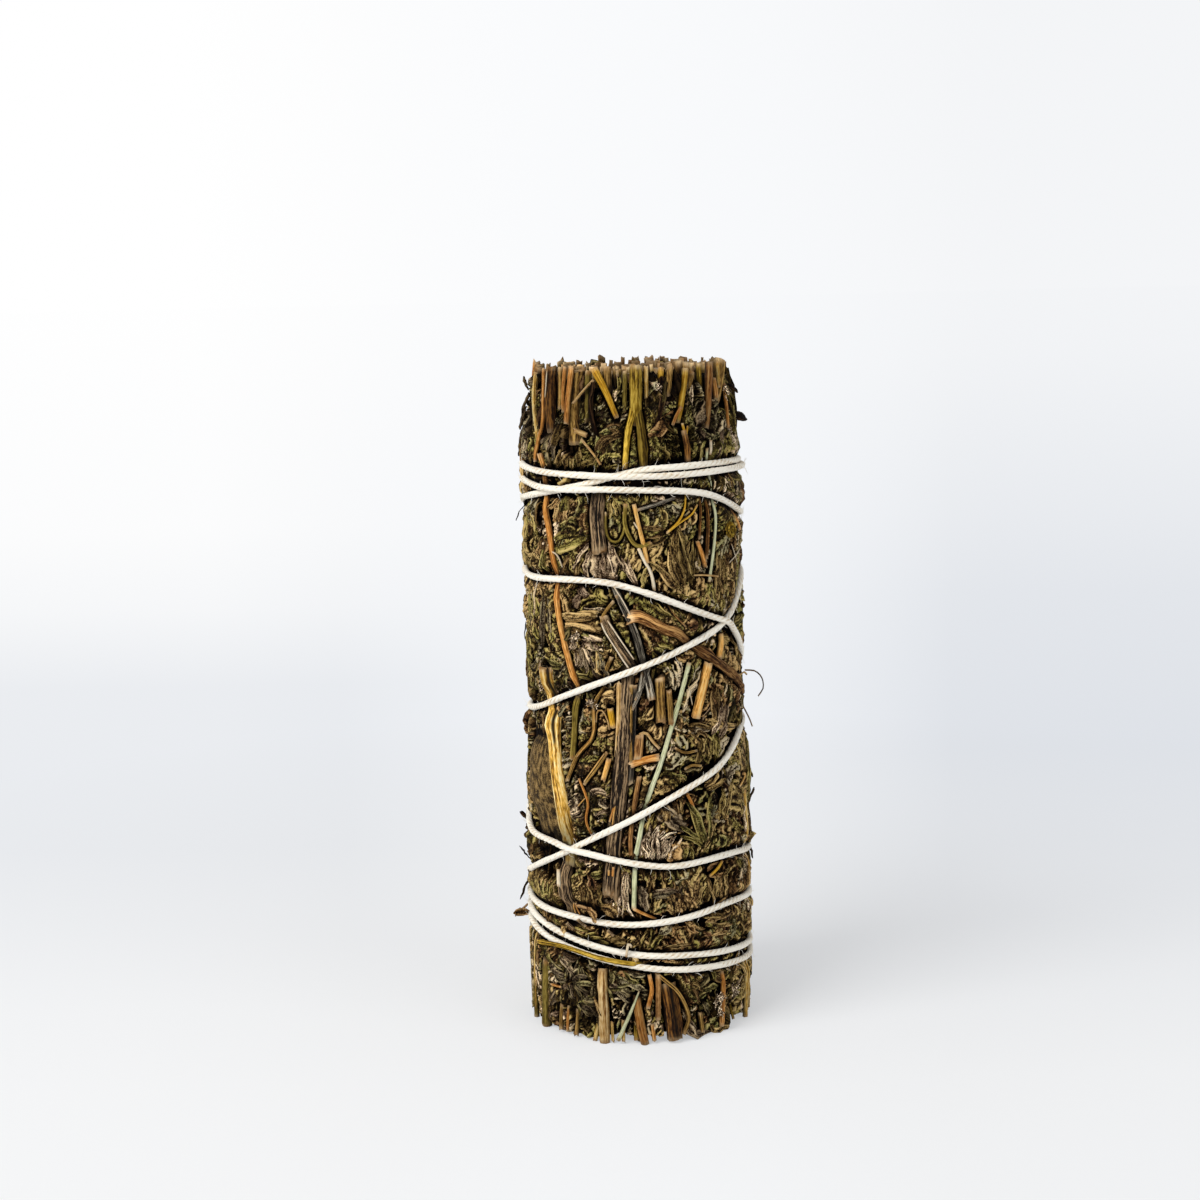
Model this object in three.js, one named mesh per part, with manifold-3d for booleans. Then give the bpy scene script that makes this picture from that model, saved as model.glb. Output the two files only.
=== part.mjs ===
// A dried sage bundle: packed leafy sprigs, woody stems and straws, bound with one cotton string.
// Units are millimetres, +Z is up, and the bundle stands on its cut stem ends at z = 0.
// Places on the bundle are given as [angle, height, depth]: the angle in degrees from the front (-Y),
// turning towards +X, and the depth below the outer surface of the packed leaves.
import * as THREE from "three";
import { mergeVertices } from "three/addons/utils/BufferGeometryUtils.js";
import Module from "manifold-3d";

// ---------- driving dimensions ----------
const HEIGHT = 102; // cut ends at the foot to the tallest cut stem
// Outer radius of the packed leaves against height.
const GIRTH = [
  [0, 17.3], [10, 17.5], [30, 17.4], [50, 16.6], [62, 16.7], [75, 16.9], [87, 16.8], [95, 16.0], [HEIGHT, 14.9],
];
const GAP = 0.3; // clearance between one piece and the next
const OUTER_WADS = 10;
const INNER_WADS = 5;
const CORE_RADIUS = 9.2; // boundary between the outer and the inner sprigs
const MAIN_STEM_RADIUS = 2.3;
const STRING_RADIUS = 0.55;
const STRING_DEPTH = 0.35; // how far the string's centre line sinks below the leaf surface
const STRING_STEPS = 18; // straight lengths for each turn of the string
const STRING_SAG = 0.27; // how far the middle of one straight length falls inside the curve
const KNOT_RADIUS = 1.25;

const wasm = await Module();
wasm.setup();

// ---------- small helpers ----------
const rad = (deg) => (deg * Math.PI) / 180;
const mix = (a, b, t) => a + (b - a) * t;

function girth(z) {
  const i = Math.max(1, GIRTH.findIndex(([h]) => h >= Math.min(Math.max(z, 0), HEIGHT)));
  const [z0, r0] = GIRTH[i - 1];
  const [z1, r1] = GIRTH[i];
  return mix(r0, r1, Math.min(Math.max((z - z0) / (z1 - z0), 0), 1));
}

function place(angle, z, depth) {
  const r = girth(z) - depth;
  return new THREE.Vector3(r * Math.sin(rad(angle)), -r * Math.cos(rad(angle)), z);
}

// A repeatable stand-in for the unevenness of packed leaves, from -1 to 1.
function ripple(a, b, c = 0) {
  return (Math.sin(a * 1.7 + b * 0.9 + c) + Math.sin(a * 0.6 - b * 2.3 + c * 2.1) + Math.sin(b * 5.1 + c * 0.7)) / 3;
}

function solidOf(geometry) {
  const g = mergeVertices(new THREE.BufferGeometry()
    .setAttribute("position", geometry.getAttribute("position"))
    .setIndex(geometry.index), 1e-4);
  return new wasm.Manifold(new wasm.Mesh({
    numProp: 3,
    vertProperties: new Float32Array(g.attributes.position.array),
    triVerts: new Uint32Array(g.index.array),
  }));
}

function geometryOf(solid) {
  const mesh = solid.getMesh();
  return new THREE.BufferGeometry()
    .setAttribute("position", new THREE.BufferAttribute(new Float32Array(mesh.vertProperties), 3))
    .setIndex(new THREE.BufferAttribute(new Uint32Array(mesh.triVerts), 1));
}

const largest = (solid) => solid.decompose().reduce((a, b) => (a.volume() > b.volume() ? a : b));

// Skins a run of closed rings, each with the same number of points, and caps both ends with a fan.
function skin(rings) {
  const n = rings[0].length;
  const points = rings.flat();
  const faces = [];
  for (let i = 0; i + 1 < rings.length; i++)
    for (let j = 0; j < n; j++) {
      const a = i * n + j, b = i * n + ((j + 1) % n);
      faces.push(a, b, b + n, a, b + n, a + n);
    }
  [[0, 1], [rings.length - 1, 0]].forEach(([i, flip]) => {
    const middle = rings[i].reduce((s, p) => s.add(p), new THREE.Vector3()).divideScalar(n);
    points.push(middle);
    for (let j = 0; j < n; j++) {
      const a = i * n + j, b = i * n + ((j + 1) % n);
      faces.push(...(flip ? [b, a] : [a, b]), points.length - 1);
    }
  });
  return new THREE.BufferGeometry()
    .setAttribute("position", new THREE.Float32BufferAttribute(points.flatMap((p) => [p.x, p.y, p.z]), 3))
    .setIndex(faces);
}

// ---------- strands: anything long and thin that follows the bundle's surface ----------
// path: centre points; wide and thick: half sizes along the surface and across it.
// With a gap to grow by, it makes the square channel that the strand needs in the leaves.
function strand(path, wide, thick, round, grow = 0) {
  const sides = grow ? 4 : round;
  const corner = grow ? 1.36 : 1; // a square's corners stand further out than its sides
  const rings = path.map((p, i) => {
    const along = path[Math.min(i + 1, path.length - 1)].clone().sub(path[Math.max(i - 1, 0)]).normalize();
    const out = new THREE.Vector3(p.x, p.y, 0);
    if (out.length() < 3) out.set(0, -1, 0);
    out.addScaledVector(along, -out.dot(along)).normalize();
    const side = along.clone().cross(out);
    const t = path.length > 1 ? i / (path.length - 1) : 0;
    const w = ((typeof wide === "function" ? wide(t) : wide) + grow) * corner;
    const h = ((typeof thick === "function" ? thick(t) : thick) + grow) * corner;
    return Array.from({ length: sides }, (_, j) => {
      const phi = (-(j + 0.5) / sides) * 2 * Math.PI;
      return p.clone().addScaledVector(side, w * Math.cos(phi)).addScaledVector(out, h * Math.sin(phi));
    });
  });
  if (grow) {
    const n = path.length;
    const tip = (from, to, ring) => {
      const d = to.clone().sub(from).normalize().multiplyScalar(grow);
      ring.forEach((p) => p.add(d));
    };
    tip(path[1], path[0], rings[0]);
    tip(path[n - 2], path[n - 1], rings[n - 1]);
  }
  return skin(rings);
}

// ---------- the string ----------
// Ten passes over the front, from left to right; behind the bundle each runs on into the next.
const DOWN_PASSES = [
  [[-79, 86.8], [-64, 86.6], [-51, 86.5], [-28, 86.4], [-7, 86.2], [9, 86.0], [27, 86.0], [44, 86.2], [79, 85.9]],
  [[-75, 84.7], [-60, 84.2], [-40, 84.0], [-13, 84.3], [6, 84.1], [25, 83.7], [42, 83.0], [54, 81.8], [78, 79.3]],
  [[-90, 70.6], [-68, 70.3], [-35, 70.9], [-14, 70.7], [5, 69.2], [24, 66.9], [41, 64.8], [61, 62.8], [90, 56.2]],
  [[-75, 30.1], [-60, 30.3], [-44, 30.1], [-27, 29.5], [-7, 28.5], [16, 27.3], [44, 27.8], [60, 27.6], [90, 25.9]],
  [[-90, 19.6], [-70, 19.5], [-41, 19.4], [-10, 18.6], [17, 19.1], [50, 20.1], [90, 18.8]],
  [[-90, 17.6], [-63, 16.9], [-47, 16.3], [-30, 15.5], [-1, 14.0], [26, 13.4], [59, 12.4], [90, 10.9]],
];
const UP_PASSES = [
  [[-78, 15.9], [-63, 15.2], [-47, 14.6], [-20, 13.2], [7, 11.8], [21, 11.3], [55, 10.2], [90, 9.0]],
  [[-78, 23.7], [-52, 27.3], [-38, 29.5], [-22, 32.2], [-7, 34.3], [22, 38.7], [50, 41.7], [76, 46.3]],
  [[-79, 49.5], [-61, 50.6], [-38, 53.2], [-6, 56.9], [24, 60.0], [41, 61.7], [61, 63.3], [78, 68.6]],
  [[-90, 81.4], [-64, 82.7], [-51, 83.5], [-36, 84.3], [-21, 85.2], [-5, 86.4], [6, 87.1], [24, 87.3], [44, 87.4], [80, 86.9]],
];
const KNOT_ANGLE = -180;
const KNOT_HEIGHT = 86.6;

// The string's route as [angle, height] without its lifts, the angle growing with every turn.
function stringRoute() {
  const passes = [...DOWN_PASSES, ...UP_PASSES];
  const points = [new THREE.Vector3(KNOT_ANGLE + 4, KNOT_HEIGHT + 0.7, 0)];
  passes.forEach((pass, turn) =>
    pass.forEach(([a, z]) => points.push(new THREE.Vector3(a + 360 * turn, z, turn))));
  points.push(new THREE.Vector3(KNOT_ANGLE - 4 + 360 * passes.length, KNOT_HEIGHT - 0.7, passes.length));
  const curve = new THREE.CatmullRomCurve3(points, false, "centripetal");
  const steps = STRING_STEPS * passes.length;
  return curve.getSpacedPoints(steps).map((p) => [p.x, p.y]);
}

// Distance over the surface between two places on the bundle.
function apart([a, z], [b, y]) {
  const turn = ((((a - b) % 360) + 540) % 360) - 180;
  return Math.hypot(rad(turn) * girth(z), z - y);
}

// Where a strand wound later meets one wound earlier, it rides over it.
function stringPath() {
  const route = stringRoute();
  const half = Math.round((route.length * (DOWN_PASSES.length - 0.1)) / (DOWN_PASSES.length + UP_PASSES.length));
  const early = new THREE.CatmullRomCurve3(route.slice(half).map(([a, z]) => new THREE.Vector3(a, z, 0)))
    .getPoints(route.length * 4).map((p) => [p.x, p.y]);
  const clear = 2 * STRING_RADIUS + 0.15;
  const lift = route.map((p, i) => {
    if (i >= half) return 0;
    const d = Math.min(...early.map((q) => apart(p, q)));
    return clear * Math.min(1, Math.max(0, (3.2 - d) / 1.6));
  });
  return route.map(([a, z], i) => place(a, z, STRING_DEPTH - lift[i]));
}

const STRING_PATH = stringPath();
const STRING_PLACES = stringRoute();

function stringSolid(grow) {
  const run = solidOf(strand(STRING_PATH, STRING_RADIUS, STRING_RADIUS, 6, grow));
  const knot = new THREE.IcosahedronGeometry(KNOT_RADIUS + grow, 1).scale(1.25, 0.8, 1);
  knot.translate(...place(KNOT_ANGLE, KNOT_HEIGHT, -0.35).toArray());
  const indexed = mergeVertices(new THREE.BufferGeometry()
    .setAttribute("position", knot.getAttribute("position")), 1e-4);
  return run.add(solidOf(indexed));
}

// ---------- stems, straws and grass blades ----------
const underString = (thick) => STRING_DEPTH + STRING_RADIUS + STRING_SAG + GAP + thick;

// How deep a stem lies at a place: just under the surface, and lower where the string crosses over it.
function stemDepth(spot, thick, wide) {
  const near = Math.min(...STRING_PLACES.map((q) => apart(spot, q)));
  const t = Math.min(1, Math.max(0, (near - wide - 1.9) / 3));
  return mix(underString(thick), 0.1 + thick, t);
}

// name, colour, half width, half thickness, sides, then the [angle, height, extra depth] it passes.
const STEMS = [
  ["orange_stem_left", 0xb06f35, 0.45, 0.45, 6, [[-55.5, 88.5], [-51.7, 82.4], [-47.2, 77.4], [-44.2, 71.8], [-42.3, 65.1], [-38, 60], [-31, 53.5]]],
  ["split_straw_left", 0xb39a4a, 1.15, 0.75, 8, [[-53, 56.6], [-50.4, 49], [-46.9, 42.6], [-41.3, 35.5], [-36.8, 27], [-35.5, 21.8]]],
  ["bark_stem_left", 0x6f6844, 1.7, 0.9, 8, [[-65, 45.5], [-61.5, 40.5], [-58, 36], [-52.5, 31.9]]],
  ["dark_stem_front", 0x4c4138, 1.15, 1.0, 8, [[-4.8, 55.8], [-7.2, 45.5], [-10.8, 36], [-14.6, 24]]],
  ["straw_stem_top", 0xb09a3c, 0.6, 0.6, 6, [[-20, 101.3], [-13, 98], [-7, 93, 0.8]]],
  ["brown_stem_top", 0x77502c, 1.05, 0.95, 8, [[-52, 101.4], [-51, 94.8], [-50, 89.8, 0.4]]],
  ["hollow_stem_top", 0x8a6a3a, 1.3, 1.3, 8, [[-35, 101.7, 0.9], [-34, 96, 0.9], [-33, 89.6, 1.6]]],
  ["yellow_stem_top_right", 0xb79f43, 0.5, 0.5, 6, [[34, 101], [28, 95], [26, 90, 0.6]]],
  ["orange_stem_top_right", 0xb0702f, 0.6, 0.6, 6, [[54, 101.3], [47, 95.5], [45, 89.9, 0.6]]],
  ["brown_stem_top_right", 0x71492a, 0.95, 0.9, 8, [[71, 101.4], [66, 97], [64, 90.4, 0.5]]],
  ["yellow_stem_top_left", 0xb59a40, 0.4, 0.4, 6, [[-68, 100.8], [-66, 97], [-64, 90.6, 0.8]]],
  ["pale_stem_foot", 0xb48e77, 0.85, 0.85, 8, [[-20, -1.5], [-20, 3], [-21, 9, 0.7]]],
  ["green_stem_foot", 0x87874a, 0.75, 0.7, 8, [[-61, -1.5], [-60, 4], [-59, 10.5, 0.5]]],
  ["olive_stem_foot", 0x77703a, 0.45, 0.45, 6, [[-76, -1.5], [-75, 4], [-73, 11.5, 0.3]]],
  ["orange_stem_foot", 0xb06b32, 0.75, 0.75, 8, [[0, -1.5], [-1, 3], [-2, 8.6, 0.6]]],
  ["hollow_stem_foot", 0x54402f, 1.6, 1.1, 8, [[17, -1.5], [17, 4], [16, 9, 0.5]]],
  ["brown_stem_foot", 0x7a5433, 0.4, 0.4, 6, [[43, 1.2], [44, 5], [45, 8.4, 0.3]]],
  ["edge_stem_foot", 0x8f7240, 0.4, 0.4, 6, [[68, -1.5], [69, 3], [70, 8, 0.3]]],
  ["golden_stem_right", 0xa98a45, 0.35, 0.35, 6, [[75, 36], [77, 28], [80, 22]]],
  ["brown_twig_right", 0x8b6a42, 0.75, 0.75, 8, [[-1, 65.4], [14, 63.7, 0.4], [29, 61.2], [57, 56], [80, 52.2], [98, 49.4]]],
  ["split_stem_right", 0xb08a45, 0.75, 0.6, 8, [[44, 56.9], [40, 53.5], [35, 49.7]]],
  ["amber_stem_piece", 0xb5843f, 0.5, 0.5, 6, [[-1.5, 43.3], [4, 43.8], [11, 44.3]]],
  ["grass_blade_long", 0xb4b588, 0.4, 0.2, 6, [[30, 57.8], [24, 52.5], [17, 46.7], [8, 40.5], [2, 34], [-1, 28], [-3, 21.6]]],
  ["grass_blade_thin", 0xa9b081, 0.3, 0.2, 6, [[46, 89.9], [47.5, 83], [48, 77], [43, 69.7]]],
  ["grass_blade_foot", 0xb5b184, 0.4, 0.2, 6, [[-3, 9.3, 0.1], [-7, 5], [-12, 0.4]]],
  ["white_straw", 0xcfc7ab, 0.4, 0.3, 6, [[3, 76.2], [8, 73.4]]],
  ["olive_straw", 0x9a8a45, 0.35, 0.3, 6, [[-60, 13.1], [-40, 11.6], [-26, 10.9]]],
  ["bark_stem_upper", 0x7d6a55, 0.75, 0.7, 8, [[-20, 82], [-19, 78], [-18, 73.2]]],
  ["amber_stem_upper", 0xb27c35, 0.3, 0.3, 6, [[0, 82], [1, 77.5], [-1, 73]]],
  ["back_stem_right", 0x7c6038, 1.1, 1.1, 8, [[118, -1.5], [120, 20, 0.6], [124, 44, 0.4], [128, 66, 0.8], [130, 99.5, 0.4]]],
  ["back_stem_middle", 0x8d7a45, 0.9, 0.9, 8, [[163, -1.5], [165, 20, 0.5], [168, 45, 0.4], [163, 70, 0.6], [160, 100.4, 0.3]]],
  ["back_stem_left", 0x6d5236, 1.2, 1.2, 8, [[212, -1.5], [210, 22, 0.7], [206, 48, 0.5], [208, 72, 0.8], [214, 98.6, 0.5]]],
  ["side_stem_left", 0x93803f, 0.7, 0.7, 8, [[250, -1.5], [252, 24, 0.4], [247, 50, 0.3], [244, 74, 0.5], [246, 100.2, 0.3]]],
];
const INNER_STEMS = [
  ["inner_stem_1", 0x7b5c37, 1.2, -22, 100.8],
  ["inner_stem_2", 0x9a7c41, 0.9, 58, 99.4],
  ["inner_stem_3", 0x694a2e, 1.4, 124, 101.2],
  ["inner_stem_4", 0x8b7a44, 1.0, 200, 98.8],
  ["inner_stem_5", 0x7a6240, 1.1, 268, 100.2],
];

function stemPath(spots, wide, thick) {
  const curve = new THREE.CatmullRomCurve3(spots.map(([a, z, d = 0]) => new THREE.Vector3(a, z, d)), false, "centripetal");
  const length = spots.slice(1).reduce((s, p, i) => s + apart(p, spots[i]), 0);
  // A stem as long as the bundle stays below the string all the way; a short one dips under it.
  const whole = length > 80;
  const steps = whole ? 12 : Math.max(3, Math.round(length / 3.2));
  return curve.getPoints(steps).map((p) =>
    place(p.x, p.y, (whole ? underString(thick) : stemDepth([p.x, p.y], thick, wide)) + p.z));
}

function trimmed(solid) {
  return solid.trimByPlane([0, 0, 1], 0);
}

function stemSolid([, , wide, thick, sides, spots], grow) {
  const low = spots.some(([, z]) => z < 0);
  const solid = solidOf(strand(stemPath(spots, wide, thick), wide, thick, sides, grow));
  return low && !grow ? trimmed(solid) : solid;
}

// A forked stem at the top of the front: one stalk that splits into two branches.
function forkedStem(grow) {
  const limb = (spots, wide, end) =>
    solidOf(strand(stemPath(spots, wide, wide), (t) => mix(wide, end, t), (t) => mix(wide, end, t), 8, grow));
  return limb([[4, HEIGHT - 0.1], [3, 98.5], [3, 95.3]], 0.95, 0.85)
    .add(limb([[3.2, 96.6], [0.5, 92.5], [-2.5, 89.6]], 0.75, 0.45))
    .add(limb([[2.8, 96.6], [5, 93], [7, 89.9]], 0.75, 0.45));
}

// A dried flower head, a small rounded knob.
function flowerHead(grow) {
  const ball = new THREE.IcosahedronGeometry(0.95 + grow, 1);
  ball.translate(...place(53, 77.2, 0.8).toArray());
  return solidOf(mergeVertices(new THREE.BufferGeometry()
    .setAttribute("position", ball.getAttribute("position")), 1e-4));
}

// A stem that stands inside the bundle, leaning slightly outward towards the top.
function innerStem(radius, angle, top, grow) {
  const middle = [[-1.5, 5.9], [30, 6.1], [60, 5.7], [top, 6.2]];
  const path = middle.map(([z, r]) => new THREE.Vector3(r * Math.sin(rad(angle)), -r * Math.cos(rad(angle)), z));
  const solid = solidOf(strand(path, radius, radius, 6, grow));
  return grow ? solid : trimmed(solid);
}

function mainStem(grow) {
  const path = [-1.5, 34, 68, HEIGHT - 1.4].map((z) => new THREE.Vector3(0, 0, z));
  const solid = solidOf(strand(path, MAIN_STEM_RADIUS, MAIN_STEM_RADIUS, 10, grow));
  return grow ? solid : trimmed(solid);
}

// ---------- packed sprigs ----------
const LEVELS = [15, 30, 46, 62, 77, 91];

// Edge between two neighbouring columns of leaves: it wanders with height.
const seam = (edge, z) => edge + 2.2 * Math.sin(z / 15 + 3 * rad(edge)) + 1.2 * Math.sin(z / 8 + 2 * rad(edge));

// One column of packed leaves between two seams, from radius inner to radius outer.
function column(from, to, inner, outer, foot, top, phase) {
  const across = outer ? 4 : 3;
  const ring = (z, shrink) => {
    const a0 = seam(from, z), a1 = seam(to, z);
    const points = [];
    const put = (t, r, bump) => {
      const near = GAP / 2 / r;
      const a = mix(rad(a0) + near, rad(a1) - near, t);
      const rr = r + bump;
      points.push(new THREE.Vector3(rr * Math.sin(a), -rr * Math.cos(a), z));
    };
    for (let i = 0; i <= across; i++) {
      const t = i / across;
      const edge = Math.min(t, 1 - t) * 2;
      const face = outer || girth(z) - 0.1;
      put(t, face - shrink, outer ? 0 : 0.45 * ripple(a0 / 9 + t * 3, z / 4.5, phase) - 0.5 * (1 - edge));
    }
    for (let i = 0; i <= 1; i++) put(1 - i, inner + shrink * 0.4, 0);
    return points;
  };
  const rings = [ring(foot, 1.2), ring(foot + 2.2, 0.2)];
  LEVELS.filter((z) => z > foot + 4 && z < top - 3).forEach((z) => rings.push(ring(z, 0)));
  rings.push(ring(top - 1.8, 0.3), ring(top, 1.5));
  return solidOf(skin(rings));
}

function wads() {
  const list = [];
  for (let i = 0; i < OUTER_WADS; i++) {
    const w = 360 / OUTER_WADS, a = -90 + w * i;
    const foot = 0.9 + 0.6 * (1 + ripple(i, 2)), top = 99.6 + 1.1 * ripple(i * 2.1, 1);
    list.push(["leaf_wad_" + String(i + 1).padStart(2, "0"), column(a, a + w, CORE_RADIUS + GAP / 2, 0, foot, top, i)]);
  }
  for (let i = 0; i < INNER_WADS; i++) {
    const w = 360 / INNER_WADS, a = -54 + w * i;
    const foot = 1.6 + 0.8 * ripple(i, 5), top = 98.4 + 1.2 * ripple(i * 1.3, 4);
    list.push(["leaf_core_" + (i + 1), column(a, a + w, MAIN_STEM_RADIUS + GAP, CORE_RADIUS - 2 * GAP, foot, top, i + 20)]);
  }
  return list;
}

// ---------- assembly ----------
const root = new THREE.Group();
root.name = "sage_smudge_stick";

function add(name, colour, roughness, solid) {
  const geometry = geometryOf(solid).toNonIndexed();
  geometry.computeVertexNormals();
  const mesh = new THREE.Mesh(geometry, new THREE.MeshStandardMaterial({ color: colour, roughness, metalness: 0 }));
  mesh.name = name;
  root.add(mesh);
}

const overlap = (a, b) => {
  const p = a.boundingBox(), q = b.boundingBox();
  return [0, 1, 2].every((k) => p.min[k] <= q.max[k] && q.min[k] <= p.max[k]);
};

// Each woody piece, made at its own size and again a gap larger, as the room it needs in the leaves.
const woody = [
  ["main_stem", 0x7a5a38, (g) => mainStem(g)],
  ["forked_stem_top", 0xa5993f, (g) => forkedStem(g)],
  ["flower_head", 0xa08a4a, (g) => flowerHead(g)],
  ...INNER_STEMS.map(([name, colour, r, a, top]) => [name, colour, (g) => innerStem(r, a, top, g)]),
  ...STEMS.map((s) => [s[0], s[1], (g) => stemSolid(s, g)]),
].map(([name, colour, make]) => ({ name, colour, solid: make(0), room: make(GAP) }));

const stringRoom = stringSolid(GAP);
add("binding_string", 0xefe6da, 0.95, stringSolid(0));
woody.forEach(({ name, colour, solid }) => add(name, colour, 0.75, solid));
wads().forEach(([name, block], i) => {
  let solid = block;
  woody.forEach(({ room }) => {
    if (overlap(solid, room)) solid = solid.subtract(room);
  });
  solid = largest(solid.subtract(stringRoom));
  add(name, i % 2 ? 0x5f5536 : 0x54492f, 0.95, solid);
});

export default root;
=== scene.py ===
import math

import bpy
import numpy as np
from mathutils import Matrix, Vector
from mathutils.kdtree import KDTree


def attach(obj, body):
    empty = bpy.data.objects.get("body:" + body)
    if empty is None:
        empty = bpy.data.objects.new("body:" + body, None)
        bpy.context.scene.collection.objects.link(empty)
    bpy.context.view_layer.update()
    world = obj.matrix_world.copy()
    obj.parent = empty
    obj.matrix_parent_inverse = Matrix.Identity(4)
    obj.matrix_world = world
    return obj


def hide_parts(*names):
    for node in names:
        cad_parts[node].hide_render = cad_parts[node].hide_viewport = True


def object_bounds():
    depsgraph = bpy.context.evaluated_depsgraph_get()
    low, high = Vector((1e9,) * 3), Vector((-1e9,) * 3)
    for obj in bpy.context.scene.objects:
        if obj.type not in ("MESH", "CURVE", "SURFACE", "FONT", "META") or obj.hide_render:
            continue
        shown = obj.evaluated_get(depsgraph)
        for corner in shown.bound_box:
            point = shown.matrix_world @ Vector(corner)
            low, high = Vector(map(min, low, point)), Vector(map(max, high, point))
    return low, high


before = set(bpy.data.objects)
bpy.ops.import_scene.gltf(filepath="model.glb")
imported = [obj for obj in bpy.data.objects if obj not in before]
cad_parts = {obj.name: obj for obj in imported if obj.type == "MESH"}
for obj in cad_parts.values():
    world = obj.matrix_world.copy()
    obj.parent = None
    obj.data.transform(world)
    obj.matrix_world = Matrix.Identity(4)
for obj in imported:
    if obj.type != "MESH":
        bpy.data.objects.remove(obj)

cad_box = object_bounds()

# A dried sage bundle bound with cotton string. Lengths below are millimetres until a mesh is made.
# A place on the bundle is (angle, height, depth): degrees from the front (-Y) towards +X, height
# above the table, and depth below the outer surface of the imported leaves.
MM = 0.001
HEIGHT = cad_box[1].z / MM
GIRTH = (  # (height, radius)
    (0, 17.3), (10, 17.5), (30, 17.4), (50, 16.6), (62, 16.7), (75, 16.9), (87, 16.8), (95, 16),
    (102, 14.9),
)
MEAN_RADIUS = 16.9  # where turns round the bundle are measured in millimetres
OUTER_RADIUS = 17  # the same for what lies on top
FULL_TURN = 6.28
STRING_RADIUS = 0.49
STRING_DEPTH = 0.27
STRING_TWIST = 3.2  # one full turn of the plies
STRING_FIBRES = 900
STRING_SIDES = 12
GRAIN_TURN = 6.283  # a turn round a stem or the string is one unit of its grain
AROUND, UP = 720, 680  # cells of the maps of the bundle's side, half a degree wide
CELL = 0.15  # height of a cell
LEAF_COLUMNS = 10
LEAF_LEVEL = 2.65  # how light the leaves' lit faces are
BRIGHTEST = 2.3
LEAF_GRAINS = (97, 71)  # keep the grain of leaves of unlike tone and brightness apart
LEAF_START, CORE_START = -90, -54  # angle at which the first column starts
CORE_COLUMNS = 5
CORE_RADIUS = 9.2
LEAF_RADIUS = 16.0  # of the leaves that are laid over the side
GOLDEN_TURN = 137.508
GOLDEN_SHARE = 0.6180339887
WORLD_LIGHT = 0.37
KEY_WATTS, FILL_WATTS = 7.4, 1.5
CAMERA_BACK, CAMERA_UP = 0.326, 0.1174  # metres
CAMERA_TURN, CAMERA_TILT, CAMERA_ROLL = 0.91, 9.06, -1.35  # degrees

# The string's route, as in the CAD: passes over the front from left to right, down and then up.
DOWN_PASSES = (
    (
        (-79, 86.8), (-64, 86.6), (-51, 86.5), (-28, 86.4), (-7, 86.2), (9, 86), (27, 86), (44, 86.2),
        (79, 85.9),
    ),
    (
        (-75, 84.7), (-60, 84.2), (-40, 84), (-13, 84.3), (6, 84.1), (25, 83.7), (42, 83), (54, 81.8),
        (78, 79.3),
    ),
    (
        (-90, 70.6), (-68, 70.3), (-35, 70.9), (-14, 70.7), (5, 69.2), (24, 66.9), (41, 64.8), (61, 62.8),
        (90, 56.2),
    ),
    (
        (-75, 30.1), (-60, 30.3), (-44, 30.1), (-27, 29.5), (-7, 28.5), (16, 27.3), (44, 27.8), (60, 27.6),
        (90, 25.9),
    ),
    ((-90, 19.6), (-70, 19.5), (-41, 19.4), (-10, 18.6), (17, 19.1), (50, 20.1), (90, 18.8)),
    ((-90, 17.6), (-63, 16.9), (-47, 16.3), (-30, 15.5), (-1, 14), (26, 13.4), (59, 12.4), (90, 10.9)),
)
UP_PASSES = (
    ((-78, 15.9), (-63, 15.2), (-47, 14.6), (-20, 13.2), (7, 11.8), (21, 11.3), (55, 10.2), (90, 9)),
    ((-78, 23.7), (-52, 27.3), (-38, 29.5), (-22, 32.2), (-7, 34.3), (22, 38.7), (50, 41.7), (76, 46.3)),
    ((-79, 49.5), (-61, 50.6), (-38, 53.2), (-6, 56.9), (24, 60), (41, 61.7), (61, 63.3), (78, 68.6)),
    (
        (-90, 81.4), (-64, 82.7), (-51, 83.5), (-36, 84.3), (-21, 85.2), (-5, 86.4), (6, 87.1), (24, 87.3),
        (44, 87.4), (80, 86.9),
    ),
)
KNOT_ANGLE = -180
KNOT_HEIGHT = 86.6
KNOT_RADIUS = 0.46


# ---------- camera and light ----------
def make_camera():
    """The view: level with the upper half of the bundle, looking slightly down."""
    turn = (
        Matrix.Rotation(math.radians(CAMERA_TURN), 4, "Z")
        @ Matrix.Rotation(math.radians(90 - CAMERA_TILT), 4, "X")
        @ Matrix.Rotation(math.radians(CAMERA_ROLL), 4, "Z")
    )
    bpy.ops.object.camera_add(location=(0, -CAMERA_BACK, CAMERA_UP), rotation=turn.to_euler())
    camera = bpy.context.object
    camera.data.sensor_width = 36
    camera.data.lens = 64.2
    camera.data.clip_start, camera.data.clip_end = 0.01, 50
    bpy.context.scene.camera = camera


def area_light(name, place, aim, size, watts, colour):
    bpy.ops.object.light_add(type="AREA", location=place)
    lamp = bpy.context.object
    lamp.name = name
    lamp.rotation_euler = (Vector(aim) - Vector(place)).to_track_quat("-Z", "Y").to_euler()
    lamp.data.size = size
    lamp.data.energy = watts
    lamp.data.color = colour


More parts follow.
